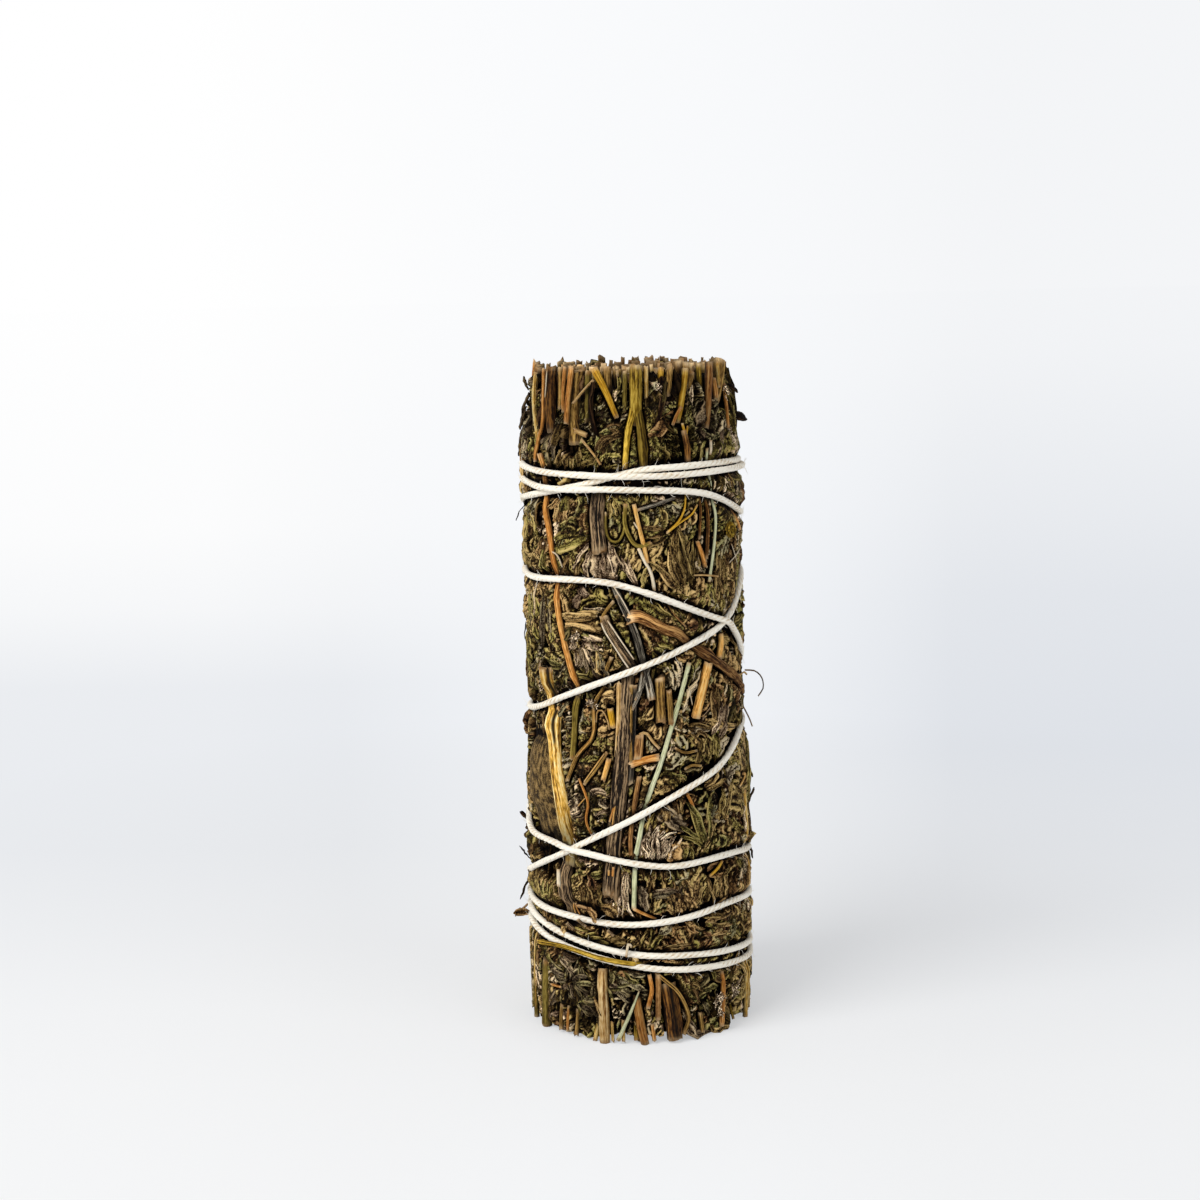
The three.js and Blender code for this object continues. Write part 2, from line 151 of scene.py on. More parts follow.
# ---------- shader helpers ----------
class Value:
    """A socket that takes part in arithmetic; each operator adds one Math node."""

    def __init__(self, shader, socket):
        self.shader, self.socket = shader, socket

    def _with(self, operation, *terms):
        return self.shader.add("ShaderNodeMath", {"operation": operation}, dict(enumerate(terms)))

    def __add__(self, other):
        return self._with("ADD", self, other)

    __radd__ = __add__

    def __sub__(self, other):
        return self._with("SUBTRACT", self, other)

    def __rsub__(self, other):
        return self._with("SUBTRACT", other, self)

    def __rtruediv__(self, other):
        return self._with("DIVIDE", other, self)

    def __mul__(self, other):
        return self._with("MULTIPLY", self, other)

    __rmul__ = __mul__

    def __truediv__(self, other):
        return self._with("DIVIDE", self, other)

    def __pow__(self, other):
        return self._with("POWER", self, other)

    def absolute(self):
        return self._with("ABSOLUTE", self)

    def at_most(self, level):
        return self._with("MINIMUM", self, level)

    def at_least(self, level):
        return self._with("MAXIMUM", self, level)

    def clamped(self):
        return self.shader.add("ShaderNodeClamp", {}, {0: self})


class Shader:
    """One procedural material, or the world, under construction."""

    def __init__(self, name, world=None):
        self.material = world or bpy.data.materials.new(name)
        self.material.use_nodes = True
        self.tree = self.material.node_tree
        self.bsdf = self.tree.nodes.get("Principled BSDF")

    def add(self, kind, settings, inputs, output=0):
        """Adds a node, sets it up, feeds its sockets and returns one of its outputs."""
        node = self.tree.nodes.new(kind)
        for key, value in settings.items():
            if key == "stops":
                ramp = node.color_ramp
                while len(ramp.elements) < len(value):
                    ramp.elements.new(0.5)
                for element, (at, colour) in zip(ramp.elements, value):
                    element.position, element.color = at, (*colour, 1)
            else:
                setattr(node, key, value)
        for key, value in inputs.items():
            self.feed(node.inputs[key], value)
        return Value(self, node.outputs[output]) if len(node.outputs) else None

    def feed(self, socket, value):
        if isinstance(value, Value):
            self.tree.links.new(value.socket, socket)
        else:
            socket.default_value = value

    def attribute(self, name, output="Color"):
        return self.add("ShaderNodeAttribute", {"attribute_name": name}, {}, output)

    def channels(self, colour, kind="ShaderNodeSeparateColor"):
        """The three numbers of a colour, or of a vector."""
        node = self.add(kind, {}, {0: colour}).socket.node
        return [Value(self, node.outputs[i]) for i in range(3)]

    def noise(self, vector, scale, detail=2.0, rough=0.55, output="Fac"):
        inputs = {"Vector": vector, "Scale": scale, "Detail": detail, "Roughness": rough}
        return self.add("ShaderNodeTexNoise", {}, inputs, output)

    def position(self):
        return self.add("ShaderNodeTexCoord", {}, {}, "Object")

    def stretched(self, vector, scale):
        return self.add("ShaderNodeMapping", {}, {"Vector": vector, "Scale": scale})

    def ramp(self, value, stops):
        return self.add("ShaderNodeValToRGB", {"stops": stops}, {0: value}, "Color")

    def mix(self, factor, a, b, blend="MIX"):
        settings = {"data_type": "RGBA", "blend_type": blend}
        return self.add("ShaderNodeMix", settings, {0: factor, 6: a, 7: b}, 2)

    def scaled(self, colour, factor):
        """A colour made darker or lighter by a value."""
        grey = self.add("ShaderNodeCombineColor", {}, {0: factor, 1: factor, 2: factor})
        return self.mix(1.0, colour, grey, "MULTIPLY")

    def finish(self, colour, roughness, height=None, strength=0.5, distance=0.0002, specular=0.3, sheen=0.0):
        self.feed(self.bsdf.inputs["Base Color"], colour)
        self.feed(self.bsdf.inputs["Roughness"], roughness)
        self.bsdf.inputs["Specular IOR Level"].default_value = specular
        self.bsdf.inputs["Sheen Weight"].default_value = sheen
        if height is not None:
            inputs = {"Strength": strength, "Distance": distance, "Height": height}
            self.feed(self.bsdf.inputs["Normal"], self.add("ShaderNodeBump", {}, inputs, "Normal"))
        return self.material


def rgb(red, green, blue):
    """Display values from 0 to 255 as the linear colour that a shader takes."""
    shares = [level / 255 for level in (red, green, blue)]
    return tuple(c / 12.92 if c <= 0.04045 else ((c + 0.055) / 1.055) ** 2.4 for c in shares)


# ---------- surface of the bundle ----------
def girth(z):
    return np.interp(z, [g[0] for g in GIRTH], [g[1] for g in GIRTH])


def spot(radius, angle, z):
    """Points in space at a distance from the bundle's axis."""
    turn = np.radians(angle)
    return np.stack(np.broadcast_arrays(radius * np.sin(turn), -radius * np.cos(turn), z), -1)


def on_surface(angle, z, depth):
    return spot(girth(z) - depth, angle, z)


def on_front(angle):
    """Angles from -180 to 180 degrees."""
    return (angle + 180) % 360 - 180


def polar(points):
    """Angle in degrees, height and depth of points in space."""
    x, y, z = points[..., 0], points[..., 1], points[..., 2]
    return np.degrees(np.arctan2(x, -y)), z, girth(z) - np.hypot(x, y)


def smooth(t):
    t = np.clip(t, 0, 1)
    return t * t * (3 - 2 * t)


def drift(angle, z, seed, waves=7, fine=1.0):
    """A smooth field over the bundle's surface, about -1 to 1, that closes round its back."""
    pick = np.random.default_rng(seed)
    total = 0
    for _ in range(waves):
        turns, rise = pick.integers(-7, 8) * fine, pick.uniform(-0.45, 0.45) * fine
        phase = pick.uniform(0, FULL_TURN)
        total = total + np.sin(np.round(turns) * np.radians(angle) + rise * z + phase)
    return total / waves**0.5 / 0.9


def unit(v):
    return v / np.maximum(np.linalg.norm(v, axis=-1, keepdims=True), 1e-9)


def square_to(out, along):
    """Unit directions nearest to out that stand square to along."""
    return unit(out - along * np.sum(out * along, -1, keepdims=True))


def distances(path):
    """How far along a path each of its points lies."""
    return np.concatenate([[0], np.cumsum(np.linalg.norm(np.diff(path, axis=0), axis=1))])


def evened(values, kernel):
    """Values smoothed by a kernel of odd length."""
    return np.convolve(np.pad(values, len(kernel) // 2, mode="edge"), kernel / kernel.sum(), "valid")


def tree_of(points):
    """A tree that finds the nearest of the points."""
    tree = KDTree(len(points))
    for i, p in enumerate(points):
        tree.insert(Vector(p), i)
    tree.balance()
    return tree


def tube_faces(rings, sides):
    """Triangles of a closed tube: its rings of points come first, then the middles of its two ends."""
    k = np.arange(sides)
    after = (k + 1) % sides
    start = np.arange(rings - 1)[:, None] * sides
    a, b = start + k, start + after
    walls = np.stack([a, a + sides, b + sides, a, b + sides, b], -1).reshape(-1, 3)
    middle, last = np.full(sides, rings * sides), (rings - 1) * sides
    ends = [np.stack([middle, k, after], -1), np.stack([middle + 1, last + after, last + k], -1)]
    return np.vstack([walls, *ends])


def spline(points, count):
    """A smooth curve of evenly spaced points through the given ones (rows of any width)."""
    p = np.array(points, float)
    p = np.vstack([2 * p[0] - p[1], p, 2 * p[-1] - p[-2]])
    t = np.linspace(0, 1, 24, endpoint=False)[:, None]
    dense = []
    for a, b, c, d in zip(p, p[1:], p[2:], p[3:]):
        line = 2 * b + (c - a) * t
        line = line + (2 * a - 5 * b + 4 * c - d) * t**2 + (3 * b - a - 3 * c + d) * t**3
        dense.append(0.5 * line)
    dense = np.vstack([*dense, p[-2:-1]])
    run = distances(dense[:, :2] * (0.3, 1.0))  # a degree round the bundle is about 0.3 mm
    even = np.linspace(0, run[-1], count)
    return np.stack([np.interp(even, run, dense[:, k]) for k in range(p.shape[1])], -1)


# ---------- masters: each repeated shape is modelled once ----------
class Master:
    """Vertices with x across (-0.5 to 0.5), y along (0 to 1) and z outward, and triangles."""

    def __init__(self, obj):
        self.points = np.array([v.co[:] for v in obj.data.vertices])
        fans = []
        for face in obj.data.polygons:  # each face is split from its corner nearest the middle line
            ring = list(face.vertices)
            start = ring.index(min(ring, key=lambda i: (round(abs(self.points[i, 0]), 4), i)))
            ring = ring[start:] + ring[:start]
            fans += [(ring[0], *pair) for pair in zip(ring[1:], ring[2:])]
        self.triangles = np.array(sorted(fans))
        bpy.data.objects.remove(obj)

    def copies(self, count):
        """The triangles of count copies, whose points follow each other."""
        return (self.triangles[None] + (np.arange(count) * len(self.points))[:, None, None]).reshape(-1, 3)


def start_edit():
    bpy.ops.object.mode_set(mode="EDIT")
    bpy.ops.mesh.select_all(action="SELECT")


def end_edit():
    bpy.ops.mesh.select_all(action="SELECT")
    bpy.ops.mesh.normals_make_consistent(inside=False)
    bpy.ops.object.mode_set(mode="OBJECT")


def closed(obj):
    """A shell, as a master, once its faces point outwards."""
    start_edit()
    end_edit()
    return Master(obj)


def strap(sides, stations, crease=1.0, offset=0.0):
    """A closed strap along +Y: a filled outline extruded from station (y, width, thickness) to station."""
    bpy.ops.object.select_all(action="DESELECT")
    rotation = (math.pi / 2, offset, 0)
    bpy.ops.mesh.primitive_circle_add(vertices=sides, radius=0.5, fill_type="NGON", rotation=rotation)
    obj = bpy.context.object
    bpy.ops.object.transform_apply(location=False, rotation=True, scale=True)
    start_edit()
    y, wide, thick = stations[0]
    bpy.ops.transform.resize(value=(wide, 1, thick), center_override=(0, 0, 0))
    for next_y, next_wide, next_thick in stations[1:]:
        bpy.ops.mesh.extrude_region_move(TRANSFORM_OT_translate={"value": (0, next_y - y, 0)})
        growth = (next_wide / wide, 1, next_thick / thick)
        bpy.ops.transform.resize(value=growth, center_override=(0, next_y, 0))
        y, wide, thick = next_y, next_wide, next_thick
    if crease != 1.0:  # squeeze the middle line of the face and of the back together
        bpy.ops.mesh.select_all(action="DESELECT")
        bpy.ops.object.mode_set(mode="OBJECT")
        for v in obj.data.vertices:
            v.select = abs(v.co.x) < 1e-4
        bpy.ops.object.mode_set(mode="EDIT")
        bpy.ops.mesh.select_mode(type="VERT")
        bpy.ops.transform.resize(value=(1, 1, crease), center_override=(0, 0, 0))
    end_edit()
    return Master(obj)


def leaf_blade():
    """A broad leaf: a grid tapered to both ends, folded along its midrib and given a thin wall."""
    bpy.ops.object.select_all(action="DESELECT")
    bpy.ops.mesh.primitive_grid_add(x_subdivisions=9, y_subdivisions=16, size=1, location=(0, 0.5, 0))
    obj = bpy.context.object
    bpy.ops.object.transform_apply()
    for v in obj.data.vertices:
        t = v.co.y
        outline = (math.sin(math.pi * min(1, t**0.75)) ** 0.7) * 0.95 + 0.05
        teeth = 1 + 0.1 * math.sin(t * 22) * (abs(v.co.x) > 0.4)
        side = v.co.x * 2
        v.co.z = 0.16 * abs(side) ** 1.3 - 0.10 * side**4 + 0.05 * math.sin(9 * t + 3 * side) * abs(side)
        v.co.x *= outline * teeth
    wall = obj.modifiers.new("wall", "SOLIDIFY")
    wall.thickness, wall.offset = 0.06, -1
    bpy.ops.object.modifier_apply(modifier=wall.name)
    return closed(obj)


def bud():
    """A small dry bud: a ball from 0 to 1 along +Y with lobes that swell round its middle."""
    bpy.ops.object.select_all(action="DESELECT")
    bpy.ops.mesh.primitive_ico_sphere_add(subdivisions=2, radius=0.5, location=(0, 0.5, 0))
    obj = bpy.context.object
    bpy.ops.object.transform_apply()
    for v in obj.data.vertices:
        turn = math.atan2(v.co.z, v.co.x)
        bulge = 1 + 0.22 * math.sin(5 * turn + 7 * v.co.y) * math.sin(math.pi * min(1, max(0, v.co.y)))
        v.co.x *= bulge
        v.co.z *= bulge
    return closed(obj)


def tapering(count, peak, power, foot, tip):
    """Stations of a strap that swells to its full width at peak."""
    stations = []
    for i in range(count):
        t = i / (count - 1)
        s = t / peak if t < peak else (1 - t) / (1 - peak)
        ends = foot if t < peak else tip
        w = ends + (1 - ends) * math.sin(math.pi / 2 * min(1, s)) ** power
        stations.append((t, w, 0.35 + 0.65 * w))
    return stations


# ---------- maps of the bundle's side ----------
def cells(angle, z):
    """Indices of the map cell of each place."""
    i = np.floor(((angle + 180) % 360) / 360 * AROUND).astype(int) % AROUND
    return i, np.clip((z / HEIGHT * UP).astype(int), 0, UP - 1)


def blurred(field, radius):
    """A map smoothed over radius millimetres, closed round the bundle."""
    margin = 60  # cells mirrored past each end, so that the blur doesn't join top and foot
    pad = np.concatenate([field[:, margin:0:-1], field, field[:, -2 : -margin - 2 : -1]], 1)
    fa = np.fft.fftfreq(pad.shape[0])[:, None]
    fz = np.fft.rfftfreq(pad.shape[1])[None]
    sigma = radius / (HEIGHT / UP)
    gain = np.exp(-2 * (np.pi * sigma) ** 2 * (fa**2 + fz**2))
    return np.fft.irfft2(np.fft.rfft2(pad) * gain, pad.shape)[:, margin : margin + field.shape[1]]


def cover(field, angle, z, depth, half, rows=7):
    """Brings a map of the outermost depth out to strips given by centre lines, depths and half widths."""
    x = np.radians(angle) * MEAN_RADIUS
    dx, dz = np.gradient(x, axis=-1), np.gradient(z, axis=-1)
    size = np.maximum(np.hypot(dx, dz), 1e-6)
    off = half[..., None] * np.linspace(-1, 1, rows)
    xx = x[..., None] + off * (dz / size)[..., None]
    zz = z[..., None] - off * (dx / size)[..., None]
    i, j = cells(np.degrees(xx / MEAN_RADIUS), zz)
    np.minimum.at(field, (i, j), np.broadcast_to(depth[..., None], i.shape))


def cover_line(field, points, half):
    """The same for one line of points in space, taken finer."""
    n = len(points)
    fine = np.linspace(0, n - 1, n * 5)
    line = np.stack([np.interp(fine, np.arange(n), points[:, k]) for k in range(3)], -1)
    a, z, depth = polar(line)
    a = np.degrees(np.unwrap(np.radians(a)))
    cover(field, a[None], z[None], depth[None] - half, np.full((1, len(fine)), half))


class Shade:
    """How hidden each place is among what lies round it: painted shade, which darkens the colour of leaves
    and stems in gaps, under what lies over them, deep inside the ends, and towards the top rim and the foot.
    """

    def __init__(self, field):
        self.close, self.open = blurred(field, 0.3), blurred(field, 1.4)

    def at(self, points):
        a, z, depth = polar(points)
        cell = cells(a, z)
        # painted shade where a place lies deeper than what lies close round it, and deeper than a wider
        # stretch
        close = np.clip((depth - self.close[cell] + 0.02) / 0.42, 0, 1)
        wide = np.clip((depth - self.open[cell] - 0.1) / 1.0, 0, 1)
        hidden = 1 - (1 - 0.9 * close) * (1 - wide)
        to_end = np.minimum(HEIGHT - z, z + 0.4)
        side = hidden * np.clip((to_end - 0.6) / 1.2, 0, 1)
        # inside the ends, painted shade grows with the distance from the nearer end
        middle = np.clip((to_end - 0.5) / 2.2, 0, 0.93)
        inside = smooth((depth - 1.5) / 1.5)
        # dusk: painted shade towards the top rim and towards the foot
        dusk = 0.22 * smooth((z - 87) / 6) * smooth((HEIGHT - 0.2 - z) / 1.5) + 0.17 * smooth((10 - z) / 6)
        return 1 - (1 - side * (1 - inside) - middle * inside) * (1 - dusk)


class Press:
    """How far strands that lie over the leaves push them in, as a map in millimetres."""

    def __init__(self):
        self.push = np.zeros((AROUND, UP))

    def strand(self, angle, z, half, depth, fade):
        """Full depth within half of the line, fading out over fade beyond it."""
        reach = half + fade
        span = np.arange(-int(reach / CELL) - 2, int(reach / CELL) + 3)
        di, dj = np.meshgrid(span, span, indexing="ij")
        depth = np.broadcast_to(depth, angle.shape)
        for a, y, deep in zip(angle, z, depth):
            i, j = int((a + 180) / 360 * AROUND), int(y / HEIGHT * UP)
            ii, jj = (i + di) % AROUND, j + dj
            ok = (jj >= 0) & (jj < UP)
            da = (i + di[ok] + 0.5) / AROUND * 360 - 180 - a
            dz = (jj[ok] + 0.5) / UP * HEIGHT - y
            d = np.hypot(np.radians(da) * MEAN_RADIUS, dz)
            level = deep * smooth(1 - (d - half) / fade)
            cell = (ii[ok], jj[ok])
            self.push[cell] = np.maximum(self.push[cell], level)

    def joined(self, other):
        """Both presses as one."""
        both = Press()
        both.push = np.maximum(self.push, other.push)
        return both

    def pressed(self, points):
        """Points moved in towards the axis, the outermost the most."""
        a, z, depth = polar(points)
        push = self.push[cells(a, z)] * smooth(1 - (depth - 0.6) / 2.0)
        scale = 1 - push / np.maximum(np.hypot(points[..., 0], points[..., 1]), 1e-6)
        return points * np.stack([scale, scale, np.ones_like(scale)], -1)


# ---------- leaves as rows of lobes ----------
class Lobes:
    """Lobes by their place, direction, bend, size, depth and colour; one number of each per lobe."""

    KEYS = (
        "angle", "z", "heading", "curl", "hook", "wave", "phase", "length", "width",
        "d0", "d1", "bow", "roll", "tone", "bright",
    )

    def __init__(self, **values):
        n = max(np.size(v) for v in values.values())
        for key in self.KEYS:
            setattr(self, key, np.broadcast_to(np.asarray(values.get(key, 0.0), float), n).copy())
        self.count = n

    def some(self, chosen):
        return Lobes(**{key: getattr(self, key)[chosen] for key in self.KEYS})

    def walk(self, steps):
        """Angle, height, depth and heading (radians) along each lobe."""
        t = (np.arange(steps) + 0.5) / steps
        wave = self.wave[:, None] * np.sin(t * self.length[:, None] * 1.5 + self.phase[:, None])
        h = np.radians(self.heading[:, None] + self.curl[:, None] * t + self.hook[:, None] * t**3 + wave)
        step = (self.length / steps)[:, None]
        zero = np.zeros((self.count, 1))
        along = np.hstack([zero, np.cumsum(np.sin(h) * step, 1)])
        up = np.hstack([zero, np.cumsum(np.cos(h) * step, 1)])
        s = np.linspace(0, 1, steps + 1)
        depth = self.d0[:, None] + (self.d1 - self.d0)[:, None] * s - self.bow[:, None] * 4 * s * (1 - s)
        a = self.angle[:, None] + np.degrees(along / MEAN_RADIUS)
        return a, self.z[:, None] + up, depth, np.hstack([h, h[:, -1:]])

    def paths(self, steps=12):
        """Centre lines in space and the outward directions, rolled about them."""
        a, z, depth, _ = self.walk(steps)
        path = on_surface(a, np.clip(z, 0.4, HEIGHT - 1.5), depth)
        out = spot(1, a, 0)
        side = np.cross(unit(path[:, -1:] - path[:, :1]), out)
        roll = np.radians(self.roll)[:, None, None]
        return path, out * np.cos(roll) + side * np.sin(roll)


def swell(t, peak=0.45, foot=0.35, tip=0.12):
    """Width of a lobe along its length, as a share of its widest."""
    s = np.where(t < peak, t / peak, (1 - t) / (1 - peak))
    low = np.where(t < peak, foot, tip)
    return low + (1 - low) * np.sin(np.pi / 2 * np.clip(s, 0, 1)) ** 0.7


class Skin:
    """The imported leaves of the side: a map of the depth and colour of what lies on top."""

    def __init__(self):
        self.depth = np.full((AROUND, UP), 3.2)
        self.marks = {key: np.zeros((AROUND, UP)) for key in ("tone", "bright", "across", "along", "v")}

    def stamp(self, lobes, thick=0.5):
        """Lays lobes into the map; at each cell the outermost stays."""
        steps, rows = 56, 14
        a, z, depth, h = lobes.walk(steps)
        t = np.linspace(0, 1, steps + 1)
        v = np.linspace(-0.5, 0.5, rows)
        pick = np.random.default_rng(7)
        phase = pick.uniform(0, FULL_TURN, (lobes.count, 1, 1))
        run = t * lobes.length[:, None]
        notch = np.sin(run * 2.3 + phase[..., 0]) + np.sin(run * 5.1 + 2 * phase[..., 0])
        wide = lobes.width[:, None] * swell(t)[None] * (1 + 0.13 * notch)
        off = wide[..., None] * v
        aa = a[..., None] + np.degrees(off * np.cos(h)[..., None] / MEAN_RADIUS)
        zz = z[..., None] - off * np.sin(h)[..., None]
        cup = pick.uniform(-0.5, 0.9, (lobes.count, 1, 1))
        crease = pick.uniform(0.1, 1.0, (lobes.count, 1, 1)) * np.exp(-((v / 0.12) ** 2))
        fold = 0.25 * np.sin(off * pick.uniform(5, 12, (lobes.count, 1, 1)) + phase)
        fold = fold + 0.22 * np.sin(run[..., None] * 3.2 + phase * 3 + 5 * v)
        form = 0.95 + cup * (4 * v * v - 0.5) - (1.3 + cup) * np.abs(2 * v) ** 6 - crease + fold
        deep = depth[..., None] - thick * form * np.minimum(1, wide / 0.8)[..., None]
        deep = deep + (0.5 * np.sin(np.radians(lobes.roll)))[:, None, None] * off
        order = np.argsort(-deep, axis=None, kind="stable")
        i, j = cells(aa.reshape(-1)[order], zz.reshape(-1)[order])
        flat = deep.reshape(-1)[order]
        level = zz.reshape(-1)[order]
        shown = (flat < self.depth[i, j]) & (level > 0) & (level < HEIGHT)
        i, j, order, flat = i[shown], j[shown], order[shown], flat[shown]
        self.depth[i, j] = flat
        owner, k, m = np.unravel_index(order, deep.shape)
        self.marks["tone"][i, j] = lobes.tone[owner]
        self.marks["bright"][i, j] = lobes.bright[owner]
        self.marks["across"][i, j] = off.reshape(-1)[order] + lobes.tone[owner] * LEAF_GRAINS[0]
        self.marks["along"][i, j] = (t[k] * lobes.length[owner]) + lobes.bright[owner] * LEAF_GRAINS[1]
        self.marks["v"][i, j] = v[m]

    def settle(self, press, stem_press):
        """Gives the map its lumps and presses it in under the strands and stems; it also paints a highlight
        on ridges into the brightness, and painted shade into valleys and deep places.
        """
        self.depth = np.minimum(self.depth, 3.0)
        a = (np.arange(AROUND)[:, None] + 0.5) / AROUND * 360 - 180
        z = (np.arange(UP)[None] + 0.5) / UP * HEIGHT
        ridge = np.clip((blurred(self.depth, 0.3) - self.depth) / 0.2, 0, 1)
        valley = np.clip((self.depth - blurred(self.depth, 0.3)) / 0.16, 0, 1)
        # painted highlight on ridges, painted shade in valleys
        self.marks["bright"] = self.marks["bright"] * (0.86 + 1.1 * ridge) * (1 - 0.55 * valley)
        lumps = 0.4 * drift(a, z, 3, fine=1.8)
        # painted shade on places that lie deep
        self.marks["bright"] = self.marks["bright"] * (1 - 0.55 * smooth((self.depth - 1.3) / 1.0))
        self.depth = np.maximum(self.depth + lumps, -0.1) + np.maximum(press.push, stem_press.push)


# ---------- laying copies ----------
def lay(master, path, out, width, thick):
    """Copies of a master, one along each path, as one array of vertices (copies, points, 3)."""
    v = master.points
    steps = path.shape[1] - 1
    u = np.clip(v[:, 1] * steps, 0, steps - 1e-6)
    i, f = u.astype(int), (u - u.astype(int))[None, :, None]
    ways = np.gradient(path, axis=1)
    middle = path[:, i] * (1 - f) + path[:, i + 1] * f
    along = unit(ways[:, i] * (1 - f) + ways[:, i + 1] * f)
    outward = square_to(out[:, i] * (1 - f) + out[:, i + 1] * f, along)
    wide = (v[:, 0] * width[:, None])[..., None]
    high = (v[:, 2] * thick[:, None])[..., None]
    return middle + np.cross(along, outward) * wide + outward * high


def crumpled(points, amount, scale=1.0):
    """Points shifted by a smooth irregular field, which creases what was evenly curved."""
    pick = np.random.default_rng(5)
    shift = np.zeros_like(points)
    for _ in range(7):
        wave = unit(pick.normal(0, 1, 3)) * pick.uniform(3.0, 8.0) / scale
        way = unit(pick.normal(0, 1, 3))
        shift += np.sin(points @ wave + pick.uniform(0, FULL_TURN))[..., None] * way
    return points + shift * amount / 2.6


# ---------- making meshes ----------
def make_mesh(name, points, triangles, attributes):
    """A new smooth object at the origin with its place in its mesh. attributes: name -> (rows of 3 or 4)."""
    points = np.maximum(points, (-np.inf, -np.inf, 0.0))  # nothing reaches below the table
    mesh = bpy.data.meshes.new(name)
    mesh.vertices.add(len(points))
    mesh.vertices.foreach_set("co", (points * MM).astype(np.float32).ravel())
    mesh.loops.add(triangles.size)
    mesh.loops.foreach_set("vertex_index", triangles.astype(np.int32).ravel())
    mesh.polygons.add(len(triangles))
    mesh.polygons.foreach_set("loop_start", np.arange(0, triangles.size, 3, dtype=np.int32))
    mesh.polygons.foreach_set("loop_total", np.full(len(triangles), 3, np.int32))
    mesh.polygons.foreach_set("use_smooth", np.full(len(triangles), True))
    for key, rows in attributes.items():
        if rows.shape[1] == 4:
            layer = mesh.color_attributes.new(key, "FLOAT_COLOR", "POINT")
            layer.data.foreach_set("color", rows.astype(np.float32).ravel())
        else:
            layer = mesh.attributes.new(key, "FLOAT_VECTOR", "POINT")
            layer.data.foreach_set("vector", rows.astype(np.float32).ravel())
    mesh.update()
    mesh.validate()
    obj = bpy.data.objects.new(name, mesh)
    bpy.context.scene.collection.objects.link(obj)
    return obj


def stand_in(obj, nodes, material):
    """Gives the piece its material and its body, and lets it take the place of CAD nodes, if any."""
    obj.data.materials.append(material)
    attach(obj, "root")
    if nodes:
        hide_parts(*nodes)


def merged(pieces):
    """Several (points, triangles, rows, ...) as one."""
    base = np.cumsum([0] + [len(p[0]) for p in pieces[:-1]])
    triangles = np.vstack([p[1] + b for p, b in zip(pieces, base)])
    points, *rows = (np.vstack([p[k] for p in pieces]) for k in range(len(pieces[0])) if k != 1)
    return [points, triangles, *rows]


# ---------- the string ----------
def string_route(count):
    """Angle, height and turn along the string: straight between its places, with the bends rounded."""
    points = [(KNOT_ANGLE + 4, KNOT_HEIGHT + 0.7)]
    for turn, one in enumerate((*DOWN_PASSES, *UP_PASSES)):
        points += [(a + 360 * turn, z) for a, z in one]
    points.append((KNOT_ANGLE - 4 + 360 * (turn + 1), KNOT_HEIGHT - 0.7))
    angle, z = np.array(points, float).T
    fine = np.arange(angle[0] - 40, angle[-1] + 40, 1.0)
    level = evened(np.interp(fine, angle, z), np.exp(-0.5 * (np.arange(-24, 25) / 7.0) ** 2))
    even = np.linspace(angle[0], angle[-1], count)
    return np.stack([even, np.interp(even, fine, level), (even + 180) / 360], -1)


def string_path(count=2600):
    """Centre line in space, and its route. The way down lies over the way up where the two cross."""
    route = string_route(count)
    flat = on_surface(route[:, 0], route[:, 1], 0.0)
    going_down = route[:, 2] < len(DOWN_PASSES)
    down, up = tree_of(flat[going_down]), tree_of(flat[~going_down])
    depth = np.full(count, STRING_DEPTH)
    for i in range(count):
        _, _, d = (up if going_down[i] else down).find(flat[i])
        near = math.sqrt(max(0.0, 1 - (d / 1.25) ** 2))
        depth[i] += -0.72 * near if going_down[i] else 0.34 * near
    depth = evened(depth, np.hanning(15))
    wobble = 0.06 * np.sin(np.arange(count) * 0.11) + 0.05 * np.sin(np.arange(count) * 0.037 + 1)
    return on_surface(route[:, 0], route[:, 1] + wobble, depth), route


def yarn(path, out, radius):
    """A closed length of string, as points, triangles and grain (turn, millimetres along, ply)."""
    along = unit(np.gradient(path, axis=0))
    out = square_to(out, along)
    side = np.cross(along, out)
    run = distances(path)[:, None]
    phi = np.linspace(0, 2 * np.pi, STRING_SIDES, endpoint=False)
    ply = plies(phi, run)
    r = np.reshape(radius, (-1, 1)) * ply
    rings = path[:, None] + side[:, None] * (r * np.cos(phi))[..., None]
    rings = rings + out[:, None] * (r * np.sin(phi))[..., None]
    grain = np.stack(np.broadcast_arrays(phi / GRAIN_TURN, run, ply), -1)
    points = np.vstack([rings.reshape(-1, 3), path[:1], path[-1:]])
    grain = np.vstack([grain.reshape(-1, 3), [[0, 0, 0.7], [0, run[-1, 0], 0.7]]])
    return points, tube_faces(len(path), STRING_SIDES), grain


def plies(phi, s):
    """Three twisted plies: the outline has three rounded lobes that turn along the string."""
    lobe = np.abs(np.cos(1.5 * (phi - 2 * np.pi * s / STRING_TWIST)))
    uneven = 0.03 * np.sin(2 * np.pi * s / 0.7 + 5 * phi) + 0.03 * np.sin(s * 0.9 + 2 * phi)
    uneven = uneven + 0.03 * np.sin(s * 0.31)
    return 0.84 + 0.17 * lobe**0.7 + uneven


def cotton():
    s = Shader("cotton")
    position = s.position()
    _, _, ply = s.channels(s.attribute("grain", "Vector"))
    fibre = s.noise(position, 6000.0, 3.0)
    groove = ((ply - 0.83) * 8.0 + (fibre - 0.5) * 1.5).clamped()
    stain = s.noise(position, 700.0, 3.0)
    # painted shade: the grooves between the plies darker and warmer than the tops
    colour = s.mix(groove, (*rgb(214, 190, 154), 1), (*rgb(255, 249, 235), 1))
    colour = s.mix(((stain - 0.62) * 4.0).clamped() * 0.6, colour, (*rgb(216, 196, 160), 1))
    return s.finish(colour, 0.95, fibre + ply * 0.5, 0.6, 0.0002, specular=0.1, sheen=0.15)


